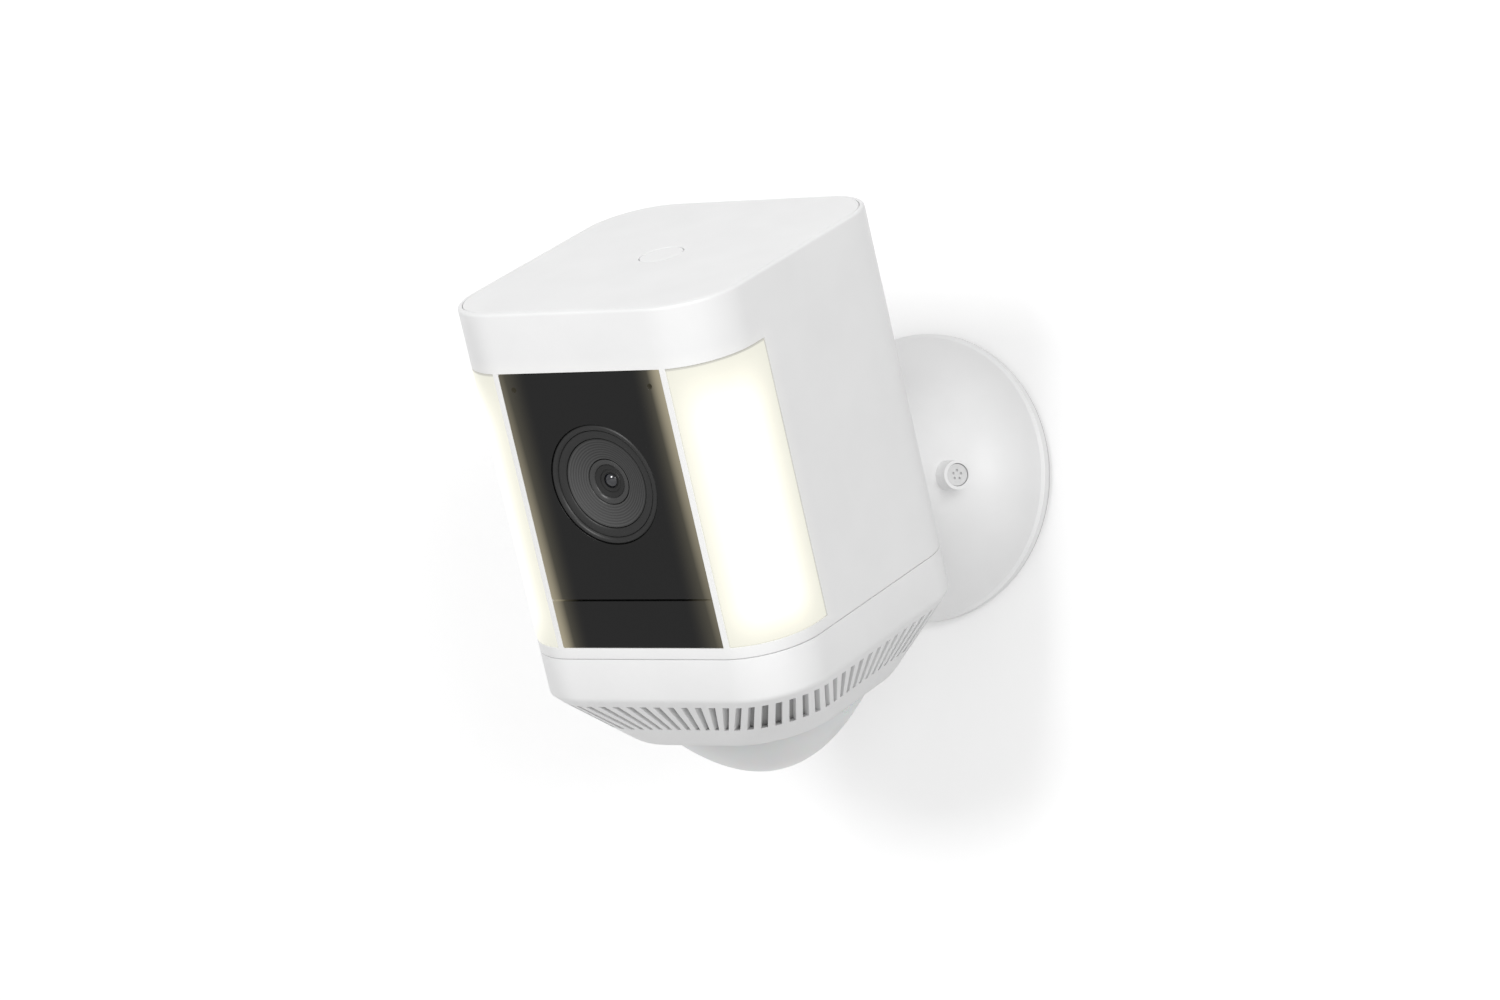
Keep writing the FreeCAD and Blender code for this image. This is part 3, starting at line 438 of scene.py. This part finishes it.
def cone_rings_and_painted_light():
    """Dark satin plastic turned with fine rings, with painted light making it a little lighter towards its
    lower left.
    """
    shader = Shader("cone_grey", Roughness=0.3)
    flat = shader.add("ShaderNodeVectorMath", operation="MULTIPLY")
    flat.inputs[1].default_value = (1, 0, 1)
    shader.link(shader.position, flat.inputs[0])
    length = shader.add("ShaderNodeVectorMath", operation="LENGTH")
    shader.link(flat.outputs["Vector"], length.inputs[0])
    turns = shader.maths("MULTIPLY", length.outputs["Value"], 2 * math.pi / (GROOVE_PITCH * MM))
    ripple = shader.maths("MULTIPLY_ADD", shader.maths("SINE", turns), 0.16, 0.46)
    # Painted light: the colour is made lighter towards the lower left, as if lit from there.
    painted_light_slant = shader.maths("SUBTRACT", shader.maths("MULTIPLY", shader.axis("X"), -16.0),
                         shader.maths("MULTIPLY", shader.axis("Z"), 14.0))
    shader.link(shader.colours(shader.maths("ADD", ripple, painted_light_slant), (0.2, grey(0.022)), (0.8, grey(0.076))),
                shader.shader.inputs["Base Color"])
    return shader.material


cone_grey = cone_rings_and_painted_light()
iris_black = moulded("iris_black", 0.012, 0.4, grain=1.0e-6).material
pupil_glass = Shader("pupil_glass", Base_Color=(0.004, 0.005, 0.01, 1), Roughness=0.03, IOR=1.7,
                     Coat_Weight=1.0, Coat_Roughness=0.02).grain(300, 1e-7).material

paint(shell_white, "main_shell", "top_cap", "base_cover", "setup_button", "reflector_left", "reflector_right")
paint(mount_white, "mount_cover")
paint(plate_white, "wall_plate")
paint(black_gloss, "upper_front_panel", "lower_front_panel")
paint(rubber_black, "stud_gasket", "shell_seal", "mic_boots")
paint(mesh_grey, "vent_mesh")
paint(lens_black, "lens_bezel", "lens_inner_ring", "lens_barrel", "ir_leds")
paint(lens_grey, "lens_cone")
paint(glass_dark, "lens_glass", "ir_cut_filter")
paint(chip_black, "board_chips", "image_sensor", "button_switch", "friction_pad")
paint(cage_grey, "battery_cage")
paint(battery_dark, "battery_left", "battery_right")
paint(speaker_dark, "siren_speaker")
paint(dome_milk, "sensor_dome")
paint(screw_white, "security_screw")
paint(steel, "preload_washers", "carrier_nut", "stud_plate", "stud_nut", "pir_sensor")
paint(dark_steel, "ball_stud")
paint(aluminium, "seat_carrier", "seat_block", "seat_cup", "heat_sink_left", "heat_sink_right")
paint(brass, "battery_contacts", "wifi_antenna")
paint(board_green, "main_board", "sensor_board", "pir_board", "led_board_left", "led_board_right")
paint(phosphor, "leds_left", "leds_right")
paint(light_face, "diffuser_left", "diffuser_right")


# ------------------------------------------------------------ housing

def make_shell():
    """The upper housing with openings for the dark panel and the two lights."""
    outer = [(0.18, BOTTOM), (0.0, BOTTOM + 0.18), (0, OPENING_LOW), (0, OPENING_HIGH)]
    first, last = outer.index((0, OPENING_LOW)), outer.index((0, OPENING_HIGH))
    outer += rounding(0.75, TOP - 0.75, 0.75, 0, 90)
    outer += [(RIM_WALL - 0.12, TOP), (RIM_WALL, TOP - 0.12), (RIM_WALL, TOP - 2.0), (SHELL_WALL, TOP - 2.0)]
    inner_high = len(outer)
    outer += [(SHELL_WALL, OPENING_HIGH), (SHELL_WALL, OPENING_LOW), (SHELL_WALL, BOTTOM + 0.2),
              (SHELL_WALL - 0.2, BOTTOM)]
    panel, light, side = MARKS["panel"], MARKS["light"], MARKS["side"]
    openings = [(light, side), (opposite(side), opposite(light))]
    front = [index % COUNT for index in range(-panel, panel + 1)]
    open_columns = {column for start, end in openings for column in range(start, end)} | set(front[:-1])
    bm = bmesh.new()
    grid = add_grid(bm, [section_row(*pair) for pair in outer], looped=True,
                    skip=lambda row, column: row in (first, inner_high) and column in open_columns)
    for columns in [list(range(start, end + 1)) for start, end in openings] + [front]:
        for outside, inside in ((grid[first], grid[inner_high + 1]), (grid[last], grid[inner_high])):
            for one, other in zip(columns, columns[1:]):
                bm.faces.new((outside[one], outside[other], inside[other], inside[one]))
        for edge in (columns[0], columns[-1]):
            bm.faces.new((grid[first][edge], grid[last][edge], grid[inner_high][edge],
                          grid[inner_high + 1][edge]))
    return finish_mesh("shell", bm, shell_lit, "head", HEAD, "white_shell", ("main_shell",), bevel=0.12)


def make_cap():
    edge = RIM_WALL + 0.12
    rows = [section_row(edge, TOP - 1.9), section_row(edge, TOP - 0.25)]
    rows += [section_row(*pair) for pair in rounding(edge + 0.25, TOP - 0.25, 0.25, 0, 90)]
    rows.append(section_row(edge + 1.5, TOP))
    hole = button_high.x + 0.16
    rows += [circle_row(hole + 0.6, TOP), circle_row(hole + 0.12, TOP), circle_row(hole, TOP - 0.12),
             circle_row(hole, TOP - 1.9)]
    bm = bmesh.new()
    add_grid(bm, rows, looped=True)
    return finish_mesh("cap", bm, shell_white, "head", HEAD, "white_shell", ("top_cap",))


def upright(place):
    """A lathe's place with its axis standing up, depth counted downward from the top."""
    return place @ Matrix.Rotation(math.radians(-90), 4, "X")


def make_button():
    """A flush button with a rounded edge and a very slightly dished face."""
    radius, height = button_high.x, TOP - button_low.z
    profile = [(0, 0.1), (2.5, 0.06)]
    profile += [(radius - 0.3 + 0.3 * math.sin(angle), 0.3 - 0.3 * math.cos(angle))
                for angle in (math.radians(15 * step) for step in range(7))]
    profile += [(radius, 1.4), (3.0, 1.4), (3.0, height), (0, height)]
    place = upright(HEAD @ Matrix.Translation(Vector((0, MIDDLE_Y, TOP)) * MM))
    return lathe("setup_button_cap", profile, button_white, "button", place, looped=False,
                 slot="button_white", replaces=("setup_button",))


def make_diffuser(side):
    """A milky cover that wraps round the front corner."""
    start, end = MARKS["light"], MARKS["side"]
    columns = list(range(start, end + 1))
    if side == "left":
        columns = [opposite(column) for column in reversed(columns)]
    chosen = [STATIONS[column] for column in columns]
    low, high = OPENING_LOW + SEAM, OPENING_HIGH - SEAM
    loop = [(0, low), (0, high), (SHELL_WALL, high), (SHELL_WALL, low)]
    bm = bmesh.new()
    rows = []
    for inset, height in loop:
        row = section_row(inset, height, chosen)
        row[0] = row[0] + (row[1] - row[0]).normalized() * SEAM
        row[-1] = row[-1] + (row[-2] - row[-1]).normalized() * SEAM
        rows.append(row)
    grid = add_grid(bm, rows, closed=False, looped=True)
    for column in (0, -1):
        bm.faces.new([row[column] for row in grid])
    return finish_mesh("light_cover_" + side, bm, light_face, "head", HEAD, "light_diffuser",
                       ("diffuser_" + side,), bevel=0.2)


def plate_mesh(outline, holes, front, back):
    """A flat plate in the x-z plane, from front to back along y, with round holes right through it."""
    bm = bmesh.new()
    edges = []
    for ring in [outline] + [circle_points(*hole) for hole in holes]:
        corners = [bm.verts.new((x, front, z)) for x, z in ring]
        edges += [bm.edges.new(pair) for pair in zip(corners, corners[1:] + corners[:1])]
    bmesh.ops.triangle_fill(bm, edges=edges, use_beauty=True)
    wall = bmesh.ops.extrude_face_region(bm, geom=bm.faces[:])
    moved = [item for item in wall["geom"] if isinstance(item, bmesh.types.BMVert)]
    bmesh.ops.translate(bm, vec=(0, back - front, 0), verts=moved)
    return bm


def make_panel(name, low, high, holes=()):
    """A dark front plate with soft edges."""
    left, right = -PANEL_X + SEAM, PANEL_X - SEAM
    bottom, top = low + SEAM, high - SEAM
    bm = plate_mesh([(left, bottom), (right, bottom), (right, top), (left, top)], holes,
                    shell_low.y, shell_low.y + SHELL_WALL)
    return finish_mesh(name + "_plate", bm, panel_black, "head", HEAD, "black_panel", (name,), bevel=0.12)


def circle_points(x, z, radius, steps):
    angles = [2 * math.pi * step / steps for step in range(steps)]
    return [(x + radius * math.cos(angle), z + radius * math.sin(angle)) for angle in angles]


LENS_Z = (local_box("lens_bezel")[0].z + local_box("lens_bezel")[1].z) / 2 / MM
MIC_X, MIC_Z, MIC_RADIUS = 19.3, 56.8, 0.65
LENS_HOLE = 14.6

make_shell()
make_cap()
make_panel("upper_front_panel", panel_low.z, panel_high.z,
           [(0, LENS_Z, LENS_HOLE, 96), (MIC_X, MIC_Z, MIC_RADIUS, 20), (-MIC_X, MIC_Z, MIC_RADIUS, 20)])
make_panel("lower_front_panel", lower_low.z, lower_high.z)
make_button()
make_diffuser("left")
make_diffuser("right")


# ------------------------------------------------------------ lens

LENS = HEAD @ Matrix.Translation(Vector((0, shell_low.y, LENS_Z)) * MM)


def make_lens():
    """Bezel, grooved cone, collar, iris and pupil; depth is counted inward from the front."""
    ring = [(14.46, 3.0), (14.46, 0.35)]
    ring += bulge(14.46, 13.0, 0.35, 0.55, 0.42)
    ring += [(12.94, 0.78), (12.86, 0.62)]
    ring += bulge(12.86, 11.1, 0.62, 0.84, 0.12)
    ring += [(10.98, 0.95), (10.94, 1.1), (10.9, 3.0)]
    lathe("lens_bezel_ring", ring, lens_black, "head", LENS, slot="lens_ring",
          replaces=("lens_bezel",), angle=40)
    outer, inner = CONE_OUTER, CONE_INNER
    cone = [(outer, 2.2), (outer, 1.25), (outer - 0.14, 1.06)]
    for step in range(GROOVES * 8 + 1):
        share = step / (GROOVES * 8)
        depth = 1.06 + 0.94 * share + 0.02 * math.sin(2 * math.pi * share * GROOVES)
        cone.append((outer - 0.14 - (outer - 0.3 - inner) * share, depth))
    cone += [(inner + 0.04, 2.2), (inner, 3.0)]
    lathe("lens_grooved_cone", cone, cone_grey, "head", LENS, slot="lens_grey",
          replaces=("lens_cone",), angle=50)
    collar = [(5.38, 3.0), (5.38, 2.1)] + bulge(5.38, 4.1, 2.05, 2.25, 0.22) + [(4.0, 2.4), (3.95, 3.0)]
    lathe("lens_collar", collar, lens_grey, "head", LENS, slot="lens_ring",
          replaces=("lens_inner_ring",), angle=40)
    iris = [(3.94, 2.42), (2.85, 2.62), (2.78, 2.54), (2.66, 2.54), (2.6, 2.7), (1.95, 2.85), (1.9, 2.72),
            (1.76, 2.72), (1.72, 3.1), (1.72, 6.5), (3.94, 6.5)]
    lathe("lens_iris", iris, iris_black, "head", LENS, slot="chip_black", angle=20)
    pupil = dome(1.7, 0.8, 2.95) + [(1.7, 3.4), (0, 3.4)]
    lathe("lens_pupil", pupil, pupil_glass, "head", LENS, looped=False, slot="lens_glass",
          replaces=("lens_glass",))


def bulge(outer, inner, outer_depth, inner_depth, rise, steps=10):
    """A rounded band between two radii, standing out by rise in its middle."""
    band = []
    for step in range(steps + 1):
        share = step / steps
        depth = outer_depth + (inner_depth - outer_depth) * share - rise * math.sin(math.pi * share) ** 0.8
        band.append((outer + (inner - outer) * share, depth))
    return band


def dome(radius, rise, depth, steps=12):
    """A shallow cap from its middle to its edge; depth is that of the edge."""
    sphere = (radius ** 2 + rise ** 2) / (2 * rise)
    spread = math.asin(radius / sphere)
    return [(sphere * math.sin(spread * step / steps),
             depth - rise + sphere * (1 - math.cos(spread * step / steps))) for step in range(steps + 1)]


make_lens()


# ------------------------------------------------------------ base cover with slots, and the sensor's dome

RING_TOP = BOTTOM - 0.1
RING_BOTTOM = -20.2
SKIRT_INSET = 11.8
SLOTS = 76
SLOT_WIDTH = 1.6
SLOT_HEIGHT = (-21.9, -30.0)
COVER_WALL = 2.0
DOME_HOLE = 26.0


def taper_at(height):
    return max(0.0, (RING_BOTTOM - height) / (RING_BOTTOM - cover_low.z))


def slot_stations():
    """Four stations for each slot: its two edges, its middle and the middle of the bar beside it."""
    share = taper_at(sum(SLOT_HEIGHT) / 2)
    radius = CORNER + share * CORNER_GROWTH
    flat_x = HALF_WIDTH - share * SKIRT_INSET - radius
    flat_y = HALF_DEPTH - share * SKIRT_INSET - radius
    arc = math.pi / 2 * radius
    lengths = [2 * flat_y, arc, 2 * flat_x, arc] * 2
    total = sum(lengths)
    stations = []
    for slot in range(SLOTS):
        centre = (slot + 0.5) * total / SLOTS
        for offset in (-SLOT_WIDTH / 2, 0, SLOT_WIDTH / 2, total / SLOTS / 2):
            stations.append(station_along(centre + offset, lengths, total))
    return stations


def station_along(along, lengths, total):
    """The station at a distance anticlockwise from the start of the right side."""
    corners = [(1, -1), (1, 1), (-1, 1), (-1, -1)]
    along %= total
    for order, length in enumerate(lengths):
        if along <= length:
            break
        along -= length
    side = order // 2
    start, end = corners[side], corners[(side + 1) % 4]
    part = along / length
    if order % 2:
        return Station(end[0], end[1], math.radians(90 * side + 90 * part))
    return Station(start[0] + (end[0] - start[0]) * part, start[1] + (end[1] - start[1]) * part,
                   math.radians(90 * side))


def skirt_row(inset, height, stations):
    return [station.at(inset, height, taper_at(height), SKIRT_INSET) for station in stations]


def make_base():
    """A straight band over a tapered skirt in one shell, with real slots through the skirt."""
    stations = slot_stations()
    top, bottom = RING_TOP, cover_low.z
    slot_top, slot_bottom = SLOT_HEIGHT
    outer = [(COVER_WALL - 0.2, top), (0.18, top), (0.05, top - 0.06), (0, top - 0.2), (0, -18.4),
             (0.02, -19.3), (0.1, -20.0), (0.16, -20.6), (0.12, -21.2), (0, slot_top), (0, slot_bottom),
             (0, bottom + 1.6),
             (0.06, bottom + 1.0), (0.3, bottom + 0.4), (0.75, bottom + 0.08), (1.3, bottom)]
    first = outer.index((0, slot_top))
    rows = [skirt_row(inset, height, stations) for inset, height in outer]
    rows += [circle_row(DOME_HOLE + 0.15, bottom, stations), circle_row(DOME_HOLE, bottom + 0.15, stations),
             circle_row(DOME_HOLE, bottom + COVER_WALL, stations)]
    inner_first = len(rows)
    for height in (bottom + COVER_WALL, slot_bottom, slot_top, RING_BOTTOM, top - 0.2):
        rows.append(skirt_row(COVER_WALL, height, stations))
    bm = bmesh.new()
    cut_rows = (first, inner_first + 1)
    grid = add_grid(bm, rows, looped=True, skip=lambda row, column: row in cut_rows and column % 4 < 2)
    inner_low, inner_high = grid[inner_first + 1], grid[inner_first + 2]
    for slot in range(SLOTS):
        columns = [4 * slot, 4 * slot + 1, 4 * slot + 2]
        for outside, inside in ((grid[first], inner_high), (grid[first + 1], inner_low)):
            for one, other in zip(columns, columns[1:]):
                bm.faces.new((outside[one], outside[other], inside[other], inside[one]))
        for edge in (columns[0], columns[-1]):
            bm.faces.new((grid[first][edge], grid[first + 1][edge], inner_low[edge], inner_high[edge]))
    return finish_mesh("base_cover_skin", bm, base_white, "base", HEAD, "base_white", ("base_cover",),
                       angle=42)


def make_dome():
    """The milky paraboloid over the motion sensor."""
    rim, start, height, reach = 25.75, 32.1, 20.4, 28.7
    steps = 24
    profile = []
    for step in range(steps + 1):
        radius = rim * step / steps
        profile.append((radius, start + height * (1 - (radius / reach) ** 2)))
    profile += [(rim, start + 1.8), (rim - 1.2, start + 1.8), (rim - 1.2, start + 3.4),
                (rim - 9, start + 10.5), (0, start + height - 1.4)]
    place = upright(HEAD @ Matrix.Translation((0, MIDDLE_Y * MM, 0)))
    return lathe("sensor_dome_cap", profile, dome_milk, "base", place, steps=128, looped=False,
                 slot="dome_milk", replaces=("sensor_dome",), angle=60)


make_base()
make_dome()


# ------------------------------------------------------------ locking screw in the mount's boss

SCREW_HEAD, STAR_CIRCLE, STAR_DOT, STAR_POINTS = 2.68, 1.05, 0.3, 5
BOSS_MOUTH = 0.45        # how far the screw's face lies inside the boss
FACE_BACK = BOSS_MOUTH + 0.6
HEAD_BACK, STEM_RADIUS, STEM_END = 3.4, 1.5, 16
BOSS_ANGLE = 33          # degrees that the screw's line turns away from straight sideways
BOSS_FACE = (22, -21, 0)


def screw_place():
    """The boss's face centre, with y pointing into the boss along the screw."""
    angle = math.radians(BOSS_ANGLE)
    inward = Vector((-math.cos(angle), math.sin(angle), 0))
    up = Vector((0, 0, 1))
    across = inward.cross(up)
    turn = Matrix((across, inward, up)).transposed().to_4x4()
    return Matrix.Translation(Vector(BOSS_FACE) * MM) @ turn


def make_screw():
    place = screw_place()
    holes = []
    for point in range(STAR_POINTS):
        angle = 2 * math.pi * point / STAR_POINTS + math.pi / 2
        holes.append((STAR_CIRCLE * math.cos(angle), STAR_CIRCLE * math.sin(angle), STAR_DOT, 16))
    face = plate_mesh(circle_points(0, 0, SCREW_HEAD - 0.02, 64), holes, BOSS_MOUTH, FACE_BACK)
    finish_mesh("screw_face", face, screw_white, "mount", place, "steel", ("security_screw",), bevel=0.1)
    stem = [(0, FACE_BACK), (SCREW_HEAD, FACE_BACK), (SCREW_HEAD, HEAD_BACK), (STEM_RADIUS, HEAD_BACK),
            (STEM_RADIUS, STEM_END), (0, STEM_END)]
    lathe("screw_stem", stem, screw_white, "mount", place, looped=False, slot="steel", angle=30)


make_screw()


# ------------------------------------------------------------ what shows when the base cover is off

def rounded_row(low, high, radius, inset, height, steps=6):
    """A rounded rectangle between two corners, drawn in by inset."""
    row = []
    centres = [(high.x, low.y, 1, -1), (high.x, high.y, 1, 1), (low.x, high.y, -1, 1), (low.x, low.y, -1, -1)]
    for corner, (x, y, side_x, side_y) in enumerate(centres):
        for step in range(steps + 1):
            angle = math.radians(90 * (corner - 1) + 90 * step / steps)
            row.append(Vector((x - side_x * radius + (radius - inset) * math.cos(angle),
                               y - side_y * radius + (radius - inset) * math.sin(angle), height)))
    return row


TAB_HEIGHT = 2.5
TAB_HALF_WIDTH = 6
TAB_FRONT, TAB_BACK = -52, -38


def make_battery(side):
    """A battery pack with rounded corners, a groove near each end and a ribbed pull tab."""
    name = "battery_" + side
    low, high = (corner / MM for corner in local_box(name))
    foot = low.z + TAB_HEIGHT
    profile = rounding(1.2, foot + 1.2, 1.2, -90, 0)
    profile += groove(foot + 9, 0.9, 0.5) + groove(high.z - 6, 0.9, 0.5)
    profile += rounding(1.2, high.z - 1.2, 1.2, 0, 90)
    bm = bmesh.new()
    rows = [rounded_row(low, high, 3.0, inset, height) for inset, height in profile]
    grid = add_grid(bm, rows)
    bm.faces.new(list(reversed(grid[0])))
    bm.faces.new(grid[-1])
    body = "left_pack" if side == "left" else "right_pack"
    finish_mesh(name + "_pack", bm, battery_dark, body, HEAD, "battery_plastic", (name,), angle=30)
    middle = (low + high) / 2
    tab = bmesh.new()
    ribs = 6
    profile = [(0, foot)]
    for rib in range(ribs):
        height = foot - TAB_HEIGHT * (rib + 0.5) / ribs
        profile += [(0.0, height + 0.14), (0.16, height), (0.0, height - 0.14)]
    profile += rounding(0.4, low.z + 0.4, 0.4, 0, -90, 3)
    tab_low = Vector((middle.x - TAB_HALF_WIDTH, TAB_FRONT, 0))
    tab_high = Vector((middle.x + TAB_HALF_WIDTH, TAB_BACK, 0))
    grid = add_grid(tab, [rounded_row(tab_low, tab_high, 1.5, inset, height) for inset, height in profile])
    tab.faces.new(grid[0])
    tab.faces.new(list(reversed(grid[-1])))
    finish_mesh(name + "_tab", tab, cage_grey, body, HEAD, "battery_plastic", angle=30)


def groove(height, half, depth):
    """A V-shaped groove in an upright side, as (inset, height) pairs."""
    return [(0, height - half), (depth, height - half * 0.4), (depth, height + half * 0.4),
            (0, height + half)]


make_battery("left")
make_battery("right")
INNER_EDGES = {"battery_cage": 0.4, "siren_speaker": 0.6, "pir_board": 0.2, "pir_sensor": 0.3,
               "main_board": 0.2, "board_chips": 0.15, "heat_sink_left": 0.2, "heat_sink_right": 0.2,
               "battery_contacts": 0.3, "stud_nut": 0.3, "stud_plate": 0.3, "lens_barrel": 0.3,
               "wall_plate": 0.25, "ir_leds": 0.3}
for node_name, width in INNER_EDGES.items():
    soften(nodes[node_name], width, 35, 2)


# ------------------------------------------------------------ camera, light and backdrop

AMBIENT = 0.5            # the world's strength on the object; the camera sees it at full strength
REACH = 3.0              # half the backdrop's width
FLOOR_Z = -0.4
WALL_Y = 0.0006
CAMERA_LENS = 147.3
CAMERA_PLACE = (0.8412, -1.2497, -0.0426)
CAMERA_RIGHT, CAMERA_UP = (0.8128, 0.5825, 0.0032), (0.0117, -0.0219, 0.9997)


def make_camera():
    data = bpy.data.cameras.new("camera")
    data.lens = CAMERA_LENS
    data.sensor_width = 36.0
    data.clip_start, data.clip_end = 0.05, 20.0
    camera = bpy.data.objects.new("camera", data)
    bpy.context.scene.collection.objects.link(camera)
    right, up = Vector(CAMERA_RIGHT), Vector(CAMERA_UP)
    right.normalize()
    back = right.cross(up).normalized()
    up = back.cross(right)
    rotation = Matrix((right, up, back)).transposed()
    camera.matrix_world = Matrix.Translation(CAMERA_PLACE) @ rotation.to_4x4()
    bpy.context.scene.camera = camera


def make_light(name, place, target, size, power, colour=(1, 1, 1)):
    data = bpy.data.lights.new(name, "AREA")
    data.shape = "SQUARE"
    data.size = size
    data.energy = power
    data.color = colour
    light = bpy.data.objects.new(name, data)
    bpy.context.scene.collection.objects.link(light)
    light.location = place
    light.rotation_euler = (Vector(target) - Vector(place)).to_track_quat("-Z", "Y").to_euler()


def make_world():
    world = bpy.data.worlds.new("studio")
    world.use_nodes = True
    tree = world.node_tree
    soft, seen = tree.nodes["Background"], tree.nodes.new("ShaderNodeBackground")
    for background, strength in ((soft, AMBIENT), (seen, 1.0)):
        background.inputs["Color"].default_value = (1, 1, 1, 1)
        background.inputs["Strength"].default_value = strength
    mix, path = tree.nodes.new("ShaderNodeMixShader"), tree.nodes.new("ShaderNodeLightPath")
    tree.links.new(path.outputs["Is Camera Ray"], mix.inputs["Fac"])
    tree.links.new(soft.outputs["Background"], mix.inputs[1])
    tree.links.new(seen.outputs["Background"], mix.inputs[2])
    tree.links.new(mix.outputs["Shader"], tree.nodes["World Output"].inputs["Surface"])
    bpy.context.scene.world = world


def make_plane(name, corners, material):
    """A backdrop plane that isn't part of the object."""
    bm = bmesh.new()
    bm.faces.new([bm.verts.new(corner) for corner in corners])
    mesh = bpy.data.meshes.new(name)
    bm.to_mesh(mesh)
    bm.free()
    mesh.materials.append(material)
    plane = bpy.data.objects.new(name, mesh)
    bpy.context.scene.collection.objects.link(plane)
    return plane


def backdrop_paint(name, level, emission):
    """Pale matt paint, clear from behind, so that the object's back and underside stay in view."""
    shader = Shader(name, Roughness=1.0, Specular_IOR_Level=0.0, Emission_Color=(1, 1, 1, 1),
                    Emission_Strength=emission)
    shader.vary_colour(grey(level * 0.99), grey(level), 3)
    clear = shader.add("ShaderNodeBsdfTransparent")
    mix = shader.add("ShaderNodeMixShader")
    shader.link(shader.add("ShaderNodeNewGeometry").outputs["Backfacing"], mix.inputs["Fac"])
    shader.link(shader.shader.outputs["BSDF"], mix.inputs[1])
    shader.link(clear.outputs["BSDF"], mix.inputs[2])
    shader.link(mix.outputs["Shader"], shader.tree.nodes["Material Output"].inputs["Surface"])
    return shader.material


bpy.context.scene.view_settings.view_transform = "Standard"
make_camera()
make_world()
make_light("key", (-0.05, -1.98, 0.5), (0, -0.08, 0), 0.6, 12.6)
make_light("fill", (1.5, -1.25, 0.4), (0, -0.05, 0), 0.9, 13.6)
make_light("overhead", (-0.05, -0.8, 1.1), (0, -0.08, 0), 0.6, 1.2)
make_plane("pale_floor", [(-REACH, -REACH, FLOOR_Z), (REACH, -REACH, FLOOR_Z), (REACH, REACH, FLOOR_Z),
                          (-REACH, REACH, FLOOR_Z)], backdrop_paint("floor_paint", 0.7, 0.0))
wall = make_plane("pale_wall", [(-REACH, WALL_Y, -REACH), (REACH, WALL_Y, -REACH), (REACH, WALL_Y, REACH),
                                (-REACH, WALL_Y, REACH)], backdrop_paint("wall_paint", 0.98, 0.14))
wall.visible_diffuse = False        # the pale wall doesn't brighten the object's back
